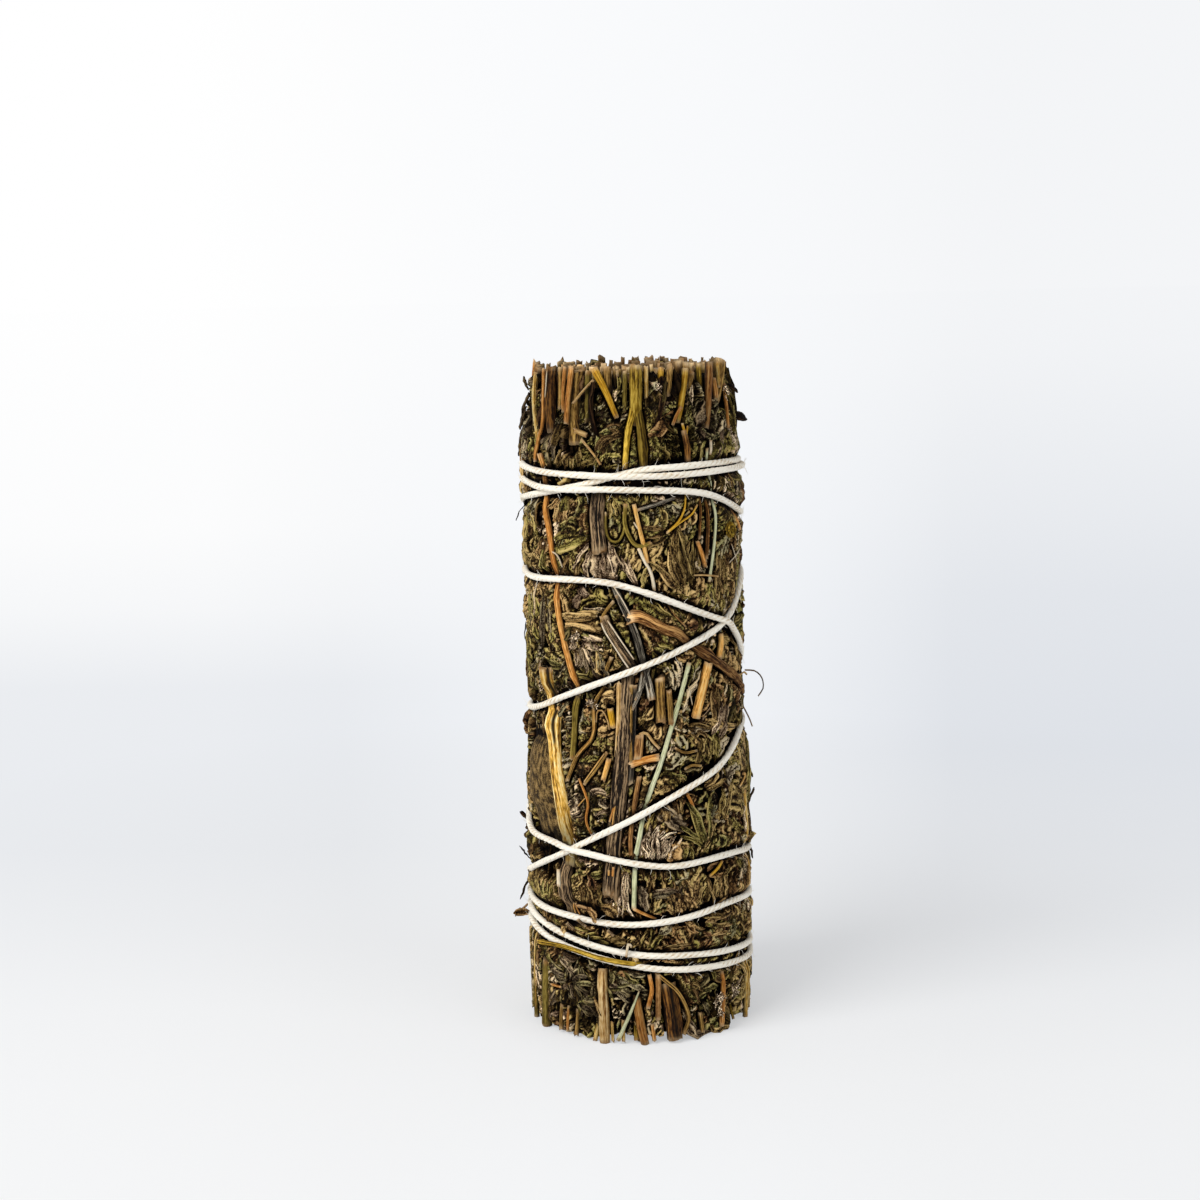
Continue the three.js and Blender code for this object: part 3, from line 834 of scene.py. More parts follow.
def knot():
    """The knot's two crossed turns, and the two short tails that hang from it."""
    centre = on_surface(KNOT_ANGLE, KNOT_HEIGHT, -0.35)
    t = np.linspace(0, 2 * np.pi, 90)
    loop = np.stack([1.05 * np.sin(2 * t), 0.45 * np.cos(3 * t), 0.85 * np.sin(3 * t) * np.cos(t)], -1)
    lengths = [yarn(centre + loop, loop + (0.01, 0.3, 0.02), KNOT_RADIUS)]
    u = np.linspace(0, 1, 60)[:, None]
    for lean in (-1, 1):
        tail = np.hstack([lean * (0.3 + 5 * u - 1.2 * u**2), 0.4 + 0.5 * np.sin(3 * u), -6.5 * u**1.3])
        lengths.append(yarn(centre + tail, np.tile([0, 1.0, 0], (60, 1)), KNOT_RADIUS + 0.1 * u**6))
    return lengths


def fibres(path):
    """Short threads that stand off the string."""
    thread = strap(3, tapering(4, 0.4, 0.6, 0.5, 0.2))
    pick = np.random.default_rng(61)
    n = STRING_FIBRES
    a, z, depth = polar(path[pick.integers(20, len(path) - 20, n)])
    low = depth - 0.75 * STRING_RADIUS
    lobes = Lobes(
        angle=a, z=z + pick.normal(0, 0.25, n), heading=pick.uniform(0, 360, n), curl=pick.normal(0, 80, n),
        length=pick.gamma(4, 0.25, n), width=pick.uniform(0.04, 0.08, n),
        d0=low, d1=low - pick.gamma(1.2, 0.2, n),
    )
    line, out = lobes.paths(4)
    points = lay(thread, line, out, lobes.width, lobes.width).reshape(-1, 3)
    return points, thread.copies(n), np.tile([0, 0, 1.0], (len(points), 1))


def make_string(path):
    pieces = [yarn(path, path * (1, 1, 0), STRING_RADIUS), *knot(), fibres(path)]
    points, triangles, grain = merged(pieces)
    obj = make_mesh("cotton_string", points, triangles, {"grain": grain})
    stand_in(obj, ["binding_string"], cotton())


# ---------- stems ----------
# name: (look, half width, half thickness, route of (angle, height, extra depth), shape)
STEMS = {
    "orange_stem_left": ("amber", 0.52, 0.45, (
        (-55.5, 89), (-51.7, 82.4), (-47.2, 77.4), (-44.6, 72.5), (-42.6, 65.5), (-38, 60), (-31, 53.3),
    ), {"rough": 0.01}),
    "split_straw_left": ("golden", 1.22, 0.85, (
        (-53.8, 56.6), (-52.3, 52), (-51.2, 49), (-49.2, 46), (-47.7, 42.6), (-45.3, 39), (-42.1, 35.5),
        (-39.8, 32), (-38.6, 27),
    ), {
        "slot": (-2, 12.6, 0.7), "gap": 0.24, "sides": 48,
        "taper": (1.4, 1.4, 1.25, 1, 1, 1.05, 1.15, 1.25, 1.1), "rough": 0,
        "level": ((0, 0.8), (3, 0.8), (5.5, 1.15), (20, 1.1), (25.5, 0.3)),
    }),
    "bark_stem_left": ("slab", 4.6, 0.7, (
        (-67, 48.5, 0.6), (-65.5, 44, 0.2), (-64, 40.5, 0.1), (-62.5, 37.5, 0.1), (-59.5, 34.5, 0.1),
        (-55.5, 31.7, 0.2), (-50.5, 28.6, 0.6),
    ), {
        "rough": 0.1, "ridges": 17, "sides": 40, "level": 1, "taper": (0.5, 0.9, 1, 1, 0.95, 0.6),
        "torn": 0.1,
    }),
    "dark_stem_front": ("bark", 1.2, 0.95, (
        (-4.6, 56.7), (-5.8, 51), (-7.2, 45.5), (-9.1, 40), (-10.8, 36), (-13.2, 31), (-14.6, 24),
    ), {"ridges": 9, "torn": 1.3, "sides": 24, "taper": (0.95, 1.12), "level": 0.8}),
    "straw_stem_top": ("yellow", 0.54, 0.5, (
        (-20, 101.6), (-13, 98.4), (-7, 94.6, 0.3),
    ), {"rough": 0.03, "taper": (1.1, 0.7)}),
    "brown_stem_top": ("brown", 0.95, 0.9, (
        (-51.6, 101.6), (-50.6, 98), (-50, 92.4, 0.9),
    ), {"ridges": 5, "level": 0.55}),
    "hollow_stem_top": ("woody", 1.35, 1.2, (
        (-34, 102, 0.9), (-34, 97, 0.9), (-33, 90.6, 1.8),
    ), {"hollow": 3.2, "slant": 1.2, "torn": 0.05}),
    "yellow_stem_top_right": ("yellow", 0.5, 0.5, (
        (34, 101.2), (30, 97.5), (27, 93.6, 0.8),
    ), {"level": 0.75}),
    "orange_stem_top_right": ("amber", 0.55, 0.6, (
        (54, 101.8), (50, 98), (47, 92.5, 0.8),
    ), {"rough": 0.03, "level": 0.45}),
    "brown_stem_top_right": ("woody", 1.25, 1, (
        (68, 101.9), (64, 99.2, 0.2), (62, 96.4, 1.2),
    ), {"torn": 0.3}),
    "yellow_stem_top_left": ("golden", 0.4, 0.4, ((-68, 100.8), (-66, 97), (-64, 90.6, 1)), {}),
    "pale_stem_foot": ("pale", 0.84, 0.8, (
        (-20, 0), (-20, 5), (-20.5, 11.3, 0.4),
    ), {"torn": 0.15, "level": 0.8}),
    "green_stem_foot": ("green", 0.8, 0.7, (
        (-61, 0), (-60, 5), (-59, 10.5, 0.3),
    ), {"torn": 0.5, "level": 0.7}),
    "olive_stem_foot": ("green", 0.42, 0.45, ((-76, 0), (-75, 4), (-73, 11.5, 0.3)), {}),
    "orange_stem_foot": ("amber", 0.66, 0.66, (
        (1, 0), (-1.4, 4), (-3, 7.4, 0.7),
    ), {"torn": 0.3, "level": 0.55}),
    "hollow_stem_foot": ("brown", 1.3, 1.1, (
        (17, 0.6), (16, 4), (14, 9, 0.5),
    ), {"slot": (0.6, 9, -0.15), "gap": 0.4, "level": 0.75}),
    "brown_stem_foot": ("amber", 0.45, 0.4, ((45, 0.9), (46, 5), (47, 9.4, 0.2)), {}),
    "edge_stem_foot": ("golden", 0.38, 0.4, ((70, 0), (71, 4), (72, 9.4, 0.2)), {}),
    "golden_stem_right": ("golden", 0.35, 0.35, ((75, 36), (77, 28), (80, 22)), {}),
    "brown_twig_right": ("twig", 0.62, 0.6, (
        (-1.5, 65.3, -0.1), (1.5, 65.5), (5.5, 65.1), (10, 64.3), (16.6, 63.3), (23, 62.6), (29.8, 61.1),
        (40.5, 58.9), (56.7, 56), (74, 53.2), (86, 51.2), (98, 49.4),
    ), {
        "rough": 0.16, "torn": 1.3, "taper": (1.35, 1), "sides": 16,
        "level": ((1, 1.5), (3, 1.15), (9, 0.6)),
    }),
    "split_stem_right": ("straw", 0.78, 0.6, (
        (42, 57.4), (38, 54), (33, 49.6),
    ), {"rough": 0.02, "crack": True}),
    "amber_stem_piece": ("amber", 0.6, 0.5, ((-3, 43.3), (4, 43.9), (11, 44.2)), {"torn": 0.3}),
    "grass_blade_long": ("grass", 0.36, 0.2, (
        (29, 58), (23, 52.4), (17, 47.4), (12, 43.2), (5, 38), (1, 33), (-2, 28), (-3, 21.4),
    ), {}),
    "grass_blade_thin": ("grass", 0.25, 0.2, (
        (43.5, 89.5), (45.2, 85.4), (47.2, 82), (47.7, 79.1), (46.7, 76.3), (44.5, 72.8), (42.3, 69.8),
    ), {}),
    "grass_blade_foot": ("grass", 0.32, 0.18, (
        (-1.4, 8.4, 0.1), (-6.2, 4.8), (-12.5, 0.6),
    ), {"taper": (0.4, 1.1)}),
    "white_straw": ("cream", 0.25, 0.25, ((3, 75.6), (6, 73.6), (9, 71.9), (11, 69.2)), {}),
    "olive_straw": ("forked", 0.38, 0.3, (
        (-64, 13.5, -0.4), (-40, 14.7, -1.2), (-18, 13.7, -1.2), (-5, 12.9, -0.6), (2, 12.3),
    ), {"rough": 0.02, "level": 1.15}),
    "bark_stem_upper": ("bark", 1.15, 0.7, (
        (-18, 83.8), (-18, 80), (-17, 75.4),
    ), {"torn": 0.8, "level": 0.85, "ridges": 9, "sides": 20}),
    "amber_stem_upper": ("straw", 0.32, 0.3, (
        (1.2, 82), (3.6, 78.6), (5.5, 76.2), (7.4, 73.4),
    ), {"level": 0.9}),
    "back_stem_right": ("woody", 1.1, 1, (
        (118, 0), (120, 20), (124, 44), (128, 66, 0.2), (130, 99.5),
    ), {"level": 0.9}),
    "back_stem_middle": ("bark", 0.9, 0.9, (
        (163, 0), (165, 20, 0.2), (168, 45), (163, 70, 0.2), (160, 100.4),
    ), {}),
    "back_stem_left": ("brown", 1.2, 1, (
        (212, 0), (210, 22), (206, 48, 0.2), (208, 72), (214, 98.6),
    ), {"level": 1.2}),
    "side_stem_left": ("golden", 0.7, 0.7, (
        (250, 0), (252, 24, 0.2), (247, 50), (244, 74, 0.3), (246, 100.2),
    ), {"level": 0.8}),
}
# look: (slot, dark, middle and light tone, how strongly the streaks show)
LOOKS = {
    "amber": ("amber_stem", (104, 58, 20), (204, 132, 54), (248, 196, 120), 1.2),
    "yellow": ("golden_straw", (120, 78, 10), (212, 156, 30), (246, 206, 92), 0.9),
    "golden": ("golden_straw", (96, 58, 10), (224, 172, 70), (255, 238, 176), 1.3),
    "straw": ("golden_straw", (140, 88, 34), (240, 176, 86), (254, 222, 150), 1.1),
    "brown": ("woody_stem", (24, 13, 5), (80, 47, 19), (172, 118, 54), 1.6),
    "bark": ("dark_bark", (20, 14, 9), (68, 51, 36), (190, 158, 118), 2.3),
    "slab": ("dark_bark", (40, 29, 14), (92, 72, 40), (150, 122, 76), 1.7),
    "woody": ("woody_stem", (40, 24, 8), (122, 88, 38), (206, 164, 90), 1.6),
    "twig": ("woody_stem", (56, 31, 13), (130, 86, 44), (208, 160, 98), 1.5),
    "silver": ("dark_bark", (42, 36, 30), (124, 114, 98), (226, 214, 190), 2.4),
    "pale": ("pale_stem", (118, 76, 34), (202, 158, 92), (250, 220, 164), 1.3),
    "cream": ("pale_stem", (190, 162, 126), (240, 222, 190), (252, 246, 228), 0.8),
    "green": ("green_stem", (50, 40, 12), (120, 100, 36), (184, 160, 78), 1.3),
    "forked": ("golden_straw", (60, 42, 6), (146, 112, 22), (224, 188, 80), 1.4),
    # a near-black strip laid where there is only shade: painted shadow in a gap or split
    "char": ("dark_bark", (8, 7, 6), (30, 26, 22), (110, 100, 86), 1.6),
    "grass": ("grass_blade", (140, 142, 92), (212, 214, 168), (240, 240, 210), 0.9),
}
# name: (radius, angle, height of the top)
INNER_STEMS = {
    "inner_stem_1": (1.2, -22, 100.8), "inner_stem_2": (0.9, 58, 99.4), "inner_stem_3": (1.4, 124, 101.2),
    "inner_stem_4": (1, 200, 98.8), "inner_stem_5": (1.1, 268, 100.2),
}
# Limbs of the forked stem: half width, taper, lightness, route. The lightness is partly each limb's own
# colour and partly painted light: a highlight on the pale left limb, shade on the right one.
FORKED_STEM = (
    (0.92, (1, 1), 0.85, ((4, 101.9), (3.6, 98.6), (3.3, 96), (3.2, 93.8, 0.9))),
    (0.46, (1.1, 0.95), 1.55, ((2.2, 96.6, 0.5), (1.3, 95), (-0.9, 92.7), (-2.1, 90.2), (-3.1, 87.3))),
    (0.68, (0.9, 1.1), 0.42, ((4, 96.6, 0.5), (4.8, 94.9, 0.1), (5.8, 92.7), (6.5, 90.2), (6.8, 87.3))),
)
# Small twigs, chips and strands that lie among the leaves:
# (look, half width, route of (angle, height, extra depth))
TWIGS = (
    # the top
    ("amber", 0.32, ((-55.8, 101.4, -0.3), (-54.4, 98, -0.2), (-53.6, 94.2), (-56.7, 91.2), (-60.5, 88))),
    # a thin pale line on the brown stem: painted highlight
    ("cream", 0.1, ((-50.2, 101.3, -0.7), (-49.6, 97.5, -0.7))),
    ("amber", 0.42, ((-33, 101.9, -0.5), (-34.5, 97.2, -0.4), (-35.5, 93.8))),
    ("amber", 0.3, ((-39, 101.8), (-39, 98), (-39, 95.4, 0.4))),
    ("pale", 0.22, ((-31, 96.7, -0.3), (-25, 98.6, -0.2), (-20, 100))),
    ("amber", 0.4, ((56, 99.4), (55.5, 97))),
    ("amber", 0.34, ((67.4, 98.4), (65.7, 95), (64.7, 92.2))),
    ("amber", 0.26, ((28, 95.8, -0.2), (25, 94.7, -0.2), (23, 93.4))),
    ("yellow", 0.2, ((28, 93.4, -0.2), (30, 91.4))),
    ("yellow", 0.16, ((31, 93, -0.2), (30, 91.4))),
    ("brown", 0.5, ((29.4, 92.2), (31, 89.6), (32, 88))),
    ("pale", 0.4, ((-29, 92.7, -0.2), (-23.2, 92.1, -0.1))),
    ("pale", 0.2, ((-26, 91.5), (-21, 90), (-18, 89), (-15.5, 87.9))),
    ("cream", 0.22, ((46, 90.6, -0.1), (46, 88.6))),
    ("golden", 0.4, ((10, 101.6, 0.5), (10, 97, 0.9))),
    ("yellow", 0.5, ((19, 101.4, 0.4), (19, 98.6, 1.4))),
    ("woody", 0.6, ((-13, 101.8, 0.6), (-12, 97.5, 1))),
    ("woody", 0.5, ((24, 101.6), (22, 97.5, 0.6))),
    ("woody", 0.45, ((-44, 101.6, 0.4), (-43, 96, 0.8))),
    ("green", 0.5, ((-24, 101, 0.4), (-25, 94, 1))),
    ("green", 0.35, ((-2, 101.2, 0.4), (-3, 95.5, 0.8))),
    ("golden", 0.35, ((62, 101.8, -0.1), (60, 98.2))),
    # between the upper strings and the long one
    ("cream", 0.13, ((-44, 74.7, -0.2), (-41, 74.4, -0.3), (-39, 73.4, -0.2), (-38, 71.5))),
    ("yellow", 0.19, ((29.6, 83.4), (27.2, 80.9, -0.1), (23.7, 79.2, -0.1), (17.6, 77.7))),
    ("yellow", 0.15, ((35, 81.4), (31.3, 80.1, -0.1), (24.4, 79, -0.1), (17.6, 77.6))),
    ("green", 0.32, ((-3, 82), (-3.5, 79.2, -0.1), (0, 76.6, -0.1), (4, 75.9, -0.1), (9, 76.3))),
    ("green", 0.2, (
        (-4, 80.9), (-4, 78.4, -0.1), (-7, 76.7, -0.2), (-11, 76.9, -0.2), (-13, 78.4, -0.1), (-13, 80.8),
    )),
    ("silver", 0.26, ((3, 81.2), (12, 81.9, -0.1), (26, 82.9))),
    ("silver", 0.24, ((31, 82.8, -0.1), (36, 82.6))),
    ("amber", 0.34, ((35, 75.9), (37, 74.3, -0.1), (39.5, 72.3))),
    ("pale", 0.15, ((31, 71.1, -0.1), (39, 70.9, -0.2), (50, 70.3))),
    ("cream", 0.09, ((58, 72, -0.1), (75, 73.6))),
    ("cream", 0.08, ((61, 74.8, -0.1), (70, 71.4))),
    ("amber", 0.45, ((60, 81), (68, 79.6), (75, 76.6))),
    ("brown", 0.22, ((38, 83), (37, 79.6), (36.5, 76.4, 0.2))),
    ("brown", 0.26, ((42, 82.6, 0.1), (42, 78), (40.5, 73.4))),
    ("cream", 0.12, ((1, 79.4, -0.1), (3, 78.4))),
    # the middle
    ("green", 0.48, ((-33, 53.2), (-34, 48), (-35, 43.9))),
    ("woody", 0.32, (
        (-12, 59.4), (-16, 56.8), (-17, 54.8), (-22, 52), (-23, 47.4), (-32, 44.2), (-38.5, 40.3),
    )),
    # a thin pale line along the woody twig above: painted highlight
    ("straw", 0.11, ((-21.5, 51.6, -0.35), (-22.6, 47.6, -0.35), (-31.4, 44.2, -0.35))),
    ("woody", 0.28, ((-15.5, 45), (-21, 42.6), (-28, 40))),
    # a thin pale line along the woody twig above: painted highlight
    ("straw", 0.1, ((-16.5, 44.9, -0.3), (-27.4, 40.5, -0.3))),
    ("straw", 0.42, ((-14.5, 43.9), (-17.5, 41))),
    ("pale", 0.13, ((-21, 49.6), (-20, 51.2, -0.2), (-17, 51.3, -0.2), (-14.5, 49.6), (-14, 48.6))),
    ("yellow", 0.5, ((-13.5, 51.6), (-12, 49))),
    ("woody", 0.3, ((-2, 55.2), (-3, 48.5), (-3, 43.4))),
    ("amber", 0.16, ((-10, 38.6, -0.2), (-14.5, 34.6, -0.1))),
    ("straw", 0.13, ((-11, 37.4, -0.3), (-13.5, 33.8, -0.1))),
    ("pale", 0.36, ((-8.4, 55.4, -0.3), (-8.8, 50.5, -0.35), (-10.4, 44.6, 0.1))),
    # a painted shadow strip in a gap between stems
    ("char", 0.45, ((-0.6, 55, 0.2), (-1.9, 47, 0.2), (-3.6, 40.5, 0.3))),
    ("silver", 0.3, ((0, 53), (4, 55.4), (8, 57.8))),
    ("silver", 0.32, ((-2, 51.6), (2, 54), (4, 57))),
    ("woody", 0.26, ((-10.3, 67.7), (-14, 66.4, -0.1), (-16.4, 64.9, -0.15), (-14.6, 63.6, -0.1))),
    ("bark", 0.66, ((-15.4, 65.4), (-13.6, 64.3, -0.1), (-7.5, 61.2, -0.1), (-1.3, 58), (0.5, 57))),
    ("cream", 0.13, ((-16.4, 64.6, -0.3), (-14.6, 63.3, -0.4), (-9, 60.6, -0.4), (-3, 57.6, -0.3))),
    ("cream", 0.12, ((-13.2, 65, -0.4), (-6, 61.7, -0.4), (-0.6, 59.2, -0.3))),
    ("silver", 0.55, (
        (-10.6, 70), (-6.8, 67.9), (-3.4, 65.8), (0.6, 62.9), (3.6, 59.5), (6.4, 56), (8.3, 53.2),
    )),
    # a painted shadow strip down the middle of the silver twig
    ("char", 0.24, (
        (-8.4, 68.6, -0.4), (-2.6, 65, -0.4), (1.2, 62, -0.4), (4.4, 58, -0.4), (7.4, 54.2, -0.2),
    )),
    # a thin pale line along the silver twig: painted highlight
    ("cream", 0.1, ((-9.4, 70, -0.45), (-4.6, 67.6, -0.5), (-1.4, 65.6, -0.45))),
    ("woody", 0.7, ((13, 56), (13, 49.6))),
    ("woody", 0.45, ((17.5, 54), (18.5, 49.4))),
    ("pale", 0.24, ((2, 47.8), (5, 48, -0.1), (8, 46.8, -0.1), (11.5, 45.6))),
    ("twig", 0.7, ((1.5, 47.4), (0.3, 44.3))),
    ("woody", 0.2, ((25, 42.1), (29, 42.5, -0.1), (34.5, 42.2))),
    ("woody", 0.2, ((20, 45.4), (25, 44.6, -0.2), (32, 44.6))),
    ("twig", 0.35, ((1, 41.4), (-2.5, 36), (-4, 32), (-4, 28.6))),
    ("amber", 0.2, ((-31, 40.7), (-26, 37.4), (-27, 34.5), (-24, 31.4))),
    ("straw", 0.1, ((-31.5, 36.6), (-27.5, 37.9, -0.1))),
    ("bark", 0.12, ((84, 54.3, -0.5), (88, 53.9, -2), (91, 52.6, -3.1), (91, 51, -3.3), (89, 49.9, -2.5))),
    ("pale", 0.16, ((66, 54.2, -0.2), (80, 54.2, -0.4), (85, 53.6, -0.7))),
    ("bark", 0.13, ((82, 48.6, -0.2), (86, 46.6, -0.9), (88, 45.2, -1.3))),
    ("straw", 0.5, ((53, 61.2, -0.1), (50, 58.2))),
    ("twig", 0.26, ((42, 59.6), (52, 56.4), (62, 54.6))),
    ("twig", 0.16, ((16, 68.4), (21, 65.5), (27, 63.6))),
    ("cream", 0.08, ((28, 54.6, -0.2), (30.5, 51.6))),
    # between the two crossing strings and below
    ("amber", 0.24, ((26, 38.6), (29, 36.2))),
    ("straw", 0.2, ((70, 38.9, -0.3), (78, 38.2), (66, 37.2, -0.1))),
    ("yellow", 0.24, ((38, 25.1), (48, 26.6))),
    ("amber", 0.26, ((-3, 21.3), (2, 20.4), (7.5, 19.5))),
    ("cream", 0.2, ((-7, 14.2, -0.9), (-6, 16, -0.5), (-4.6, 15.6, -0.5))),
    ("bark", 1.2, ((-41.5, 32.4, 0.5), (-41.5, 29, 0.2), (-41.5, 24.5), (-39.5, 19.4))),
    ("cream", 0.34, ((-42.6, 26.4, -0.75), (-42.4, 24, -0.8))),
    ("straw", 0.12, ((-34, 21.6, -0.4), (-35, 19.8, -0.3))),
    ("amber", 0.13, ((-33, 21.6, -0.4), (-32, 19.6, -0.4))),
    ("straw", 0.16, ((-15, 27.2, -0.2), (-15.5, 24, -0.1))),
    ("amber", 0.2, ((-13, 27.6, -0.2), (-13.5, 23.8, -0.2))),
    ("bark", 0.3, ((-38, 18.2, -0.6), (-34.5, 17.6, -0.7))),
    ("bark", 0.26, ((-31, 19.2, -0.8), (-27, 18.4, -0.9))),
    ("bark", 0.22, ((-15.5, 18.1, -0.9), (-13, 17.4, -0.9))),
    # the foot
    ("golden", 0.22, ((-69, 16.5), (-71, 12), (-73, 7.8), (-75, 1.6))),
    ("woody", 0.4, ((-36, 4.4, 0.7), (-37, 0.5, 0.3))),
    ("amber", 0.3, ((-42, 4.6, 0.6), (-43, 0.8, 0.3))),
    ("golden", 0.3, ((-10, 3.4, 0.6), (-10, 0.5, 0.3))),
    ("golden", 0.24, ((-16, 3.2, 0.5), (-15.5, 0.4, 0.3))),
    ("amber", 0.3, ((5, 3, 0.6), (6, 0.5, 0.3))),
    ("amber", 0.34, ((4, 10.8), (5, 8.6), (3, 5.8))),
    ("twig", 0.4, ((8.5, 10.6), (8, 4))),
    ("woody", 0.34, ((8, 10.9), (17, 8.4), (22, 5.8), (24, 3.4), (21.5, 1.2))),
    ("amber", 0.2, ((-53, 7.4), (-45, 7.6, -0.1))),
    ("woody", 0.4, ((-47, 4.4, 0.5), (-48, 0.6, 0.3))),
    ("woody", 0.4, ((32, 3.6, 0.6), (33, 0.7, 0.4))),
    ("golden", 0.3, ((75, 9.6), (76, 1))),
)


# How fine the streaks are round a stem and along it
STREAKS = {"bark": (24.0, 0.09), "slab": (44.0, 0.8), "silver": (18.0, 0.09)}
PLAIN_STREAKS = (14.0, 0.09)
SMOOTH_LOOKS = ("amber", "yellow", "golden", "straw", "grass")


def stem_material(look):
    """Ridged plant stems, with streaks along the grain (turn, millimetres along, ridge), darkened by painted
    shade.
    """
    _, dark, middle, light, contrast = LOOKS[look]
    s = Shader(look + "_stem")
    grain = s.attribute("grain", "Vector")
    # shade: painted shade on each stem's sides, split, crack and hollow, times its lightness; hidden:
    # painted shade from the shade map
    shade, cut, hidden = s.channels(s.attribute("shade"))
    across, along = STREAKS.get(look, PLAIN_STREAKS)
    streak = s.noise(s.stretched(grain, (across, along, 1.0)), 1.0, 4.0, 0.65)
    patch = s.noise(s.position(), 800.0, 3.0)
    fine = s.noise(s.stretched(grain, (3 * across, 10 * along, 1.0)), 1.0, 2.0)
    level = (streak - 0.5) * (2.6 * contrast) + (patch - 0.5) * 0.7 + (fine - 0.5) * (1.3 * contrast) + 0.46
    tones = [(0.06, rgb(*dark)), (0.45, rgb(*middle)), (0.95, rgb(*light))]
    wood = s.ramp(patch, [(0.35, rgb(176, 128, 74)), (0.65, rgb(232, 204, 160))])
    colour = s.mix(cut, s.ramp(level.clamped(), tones), wood)
    # painted shade from both channels
    colour = s.scaled(colour, ((1 - hidden) ** 1.6) * shade)
    rough = 0.6 if look in SMOOTH_LOOKS else 0.85
    return s.finish(colour, rough, streak * contrast + fine * 0.7, 0.7, 0.00022, specular=0.12)


def stem_path(route, wide, thick, strings, step=0.6):
    """Centre line of a stem that lies just under the surface and dips below the string."""
    spots = [(*p, 0.0)[:3] for p in route]
    length = 0
    for a, b in zip(spots, spots[1:]):
        length += math.hypot(math.radians(b[0] - a[0]) * OUTER_RADIUS, b[1] - a[1])
    count = max(8, int(length / step))
    line = spline(spots, count)
    flat = on_surface(line[:, 0], line[:, 1], 0.0)
    depth = np.full(count, thick * 0.5 + 0.02)
    under = STRING_DEPTH + STRING_RADIUS * 0.8 + thick
    for i in np.nonzero(line[:, 2] > -0.45)[0]:  # the others lie over the string
        _, _, d = strings.find(flat[i])
        depth[i] += max(0.0, under - depth[i]) * float(smooth((1.7 + wide - d) / 1.3))
    return on_surface(line[:, 0], line[:, 1], evened(depth, np.hanning(7)) + line[:, 2]), line


def rod_form(pick, s, phi, wide, ridges, rough):
    """How far a stem's surface stands out, s along it and phi round it: ridges, lumps and knots."""
    phase = pick.uniform(0, FULL_TURN, 4)
    form = 1 + 0.05 * np.cos(ridges * phi + phase[0] + 0.15 * np.sin(s * 0.7))
    lumps = np.sin(2 * phi + s * 0.8 + phase[1]) + np.sin(3 * phi - s * 1.7 + phase[2])
    lumps = lumps + np.sin(s * 0.9 + phase[3])
    form = form + rough * lumps * 0.6
    length = s[-1, 0]
    for knot_at in pick.uniform(0, length, int(length / 9)):
        form = form + 0.16 * np.exp(-(((s - knot_at) / (0.5 * wide + 0.15)) ** 2))
    return form


def rod_split(s, phi, slot, gap):
    """How deep a stem's face is split open."""
    start, stop, turn = slot
    split = smooth((gap - np.abs(phi - np.pi / 2 - turn)) / 0.14 + 0.4)
    return split * smooth((s - start + 0.6) / 0.8) * smooth((stop - s) / 1.5)


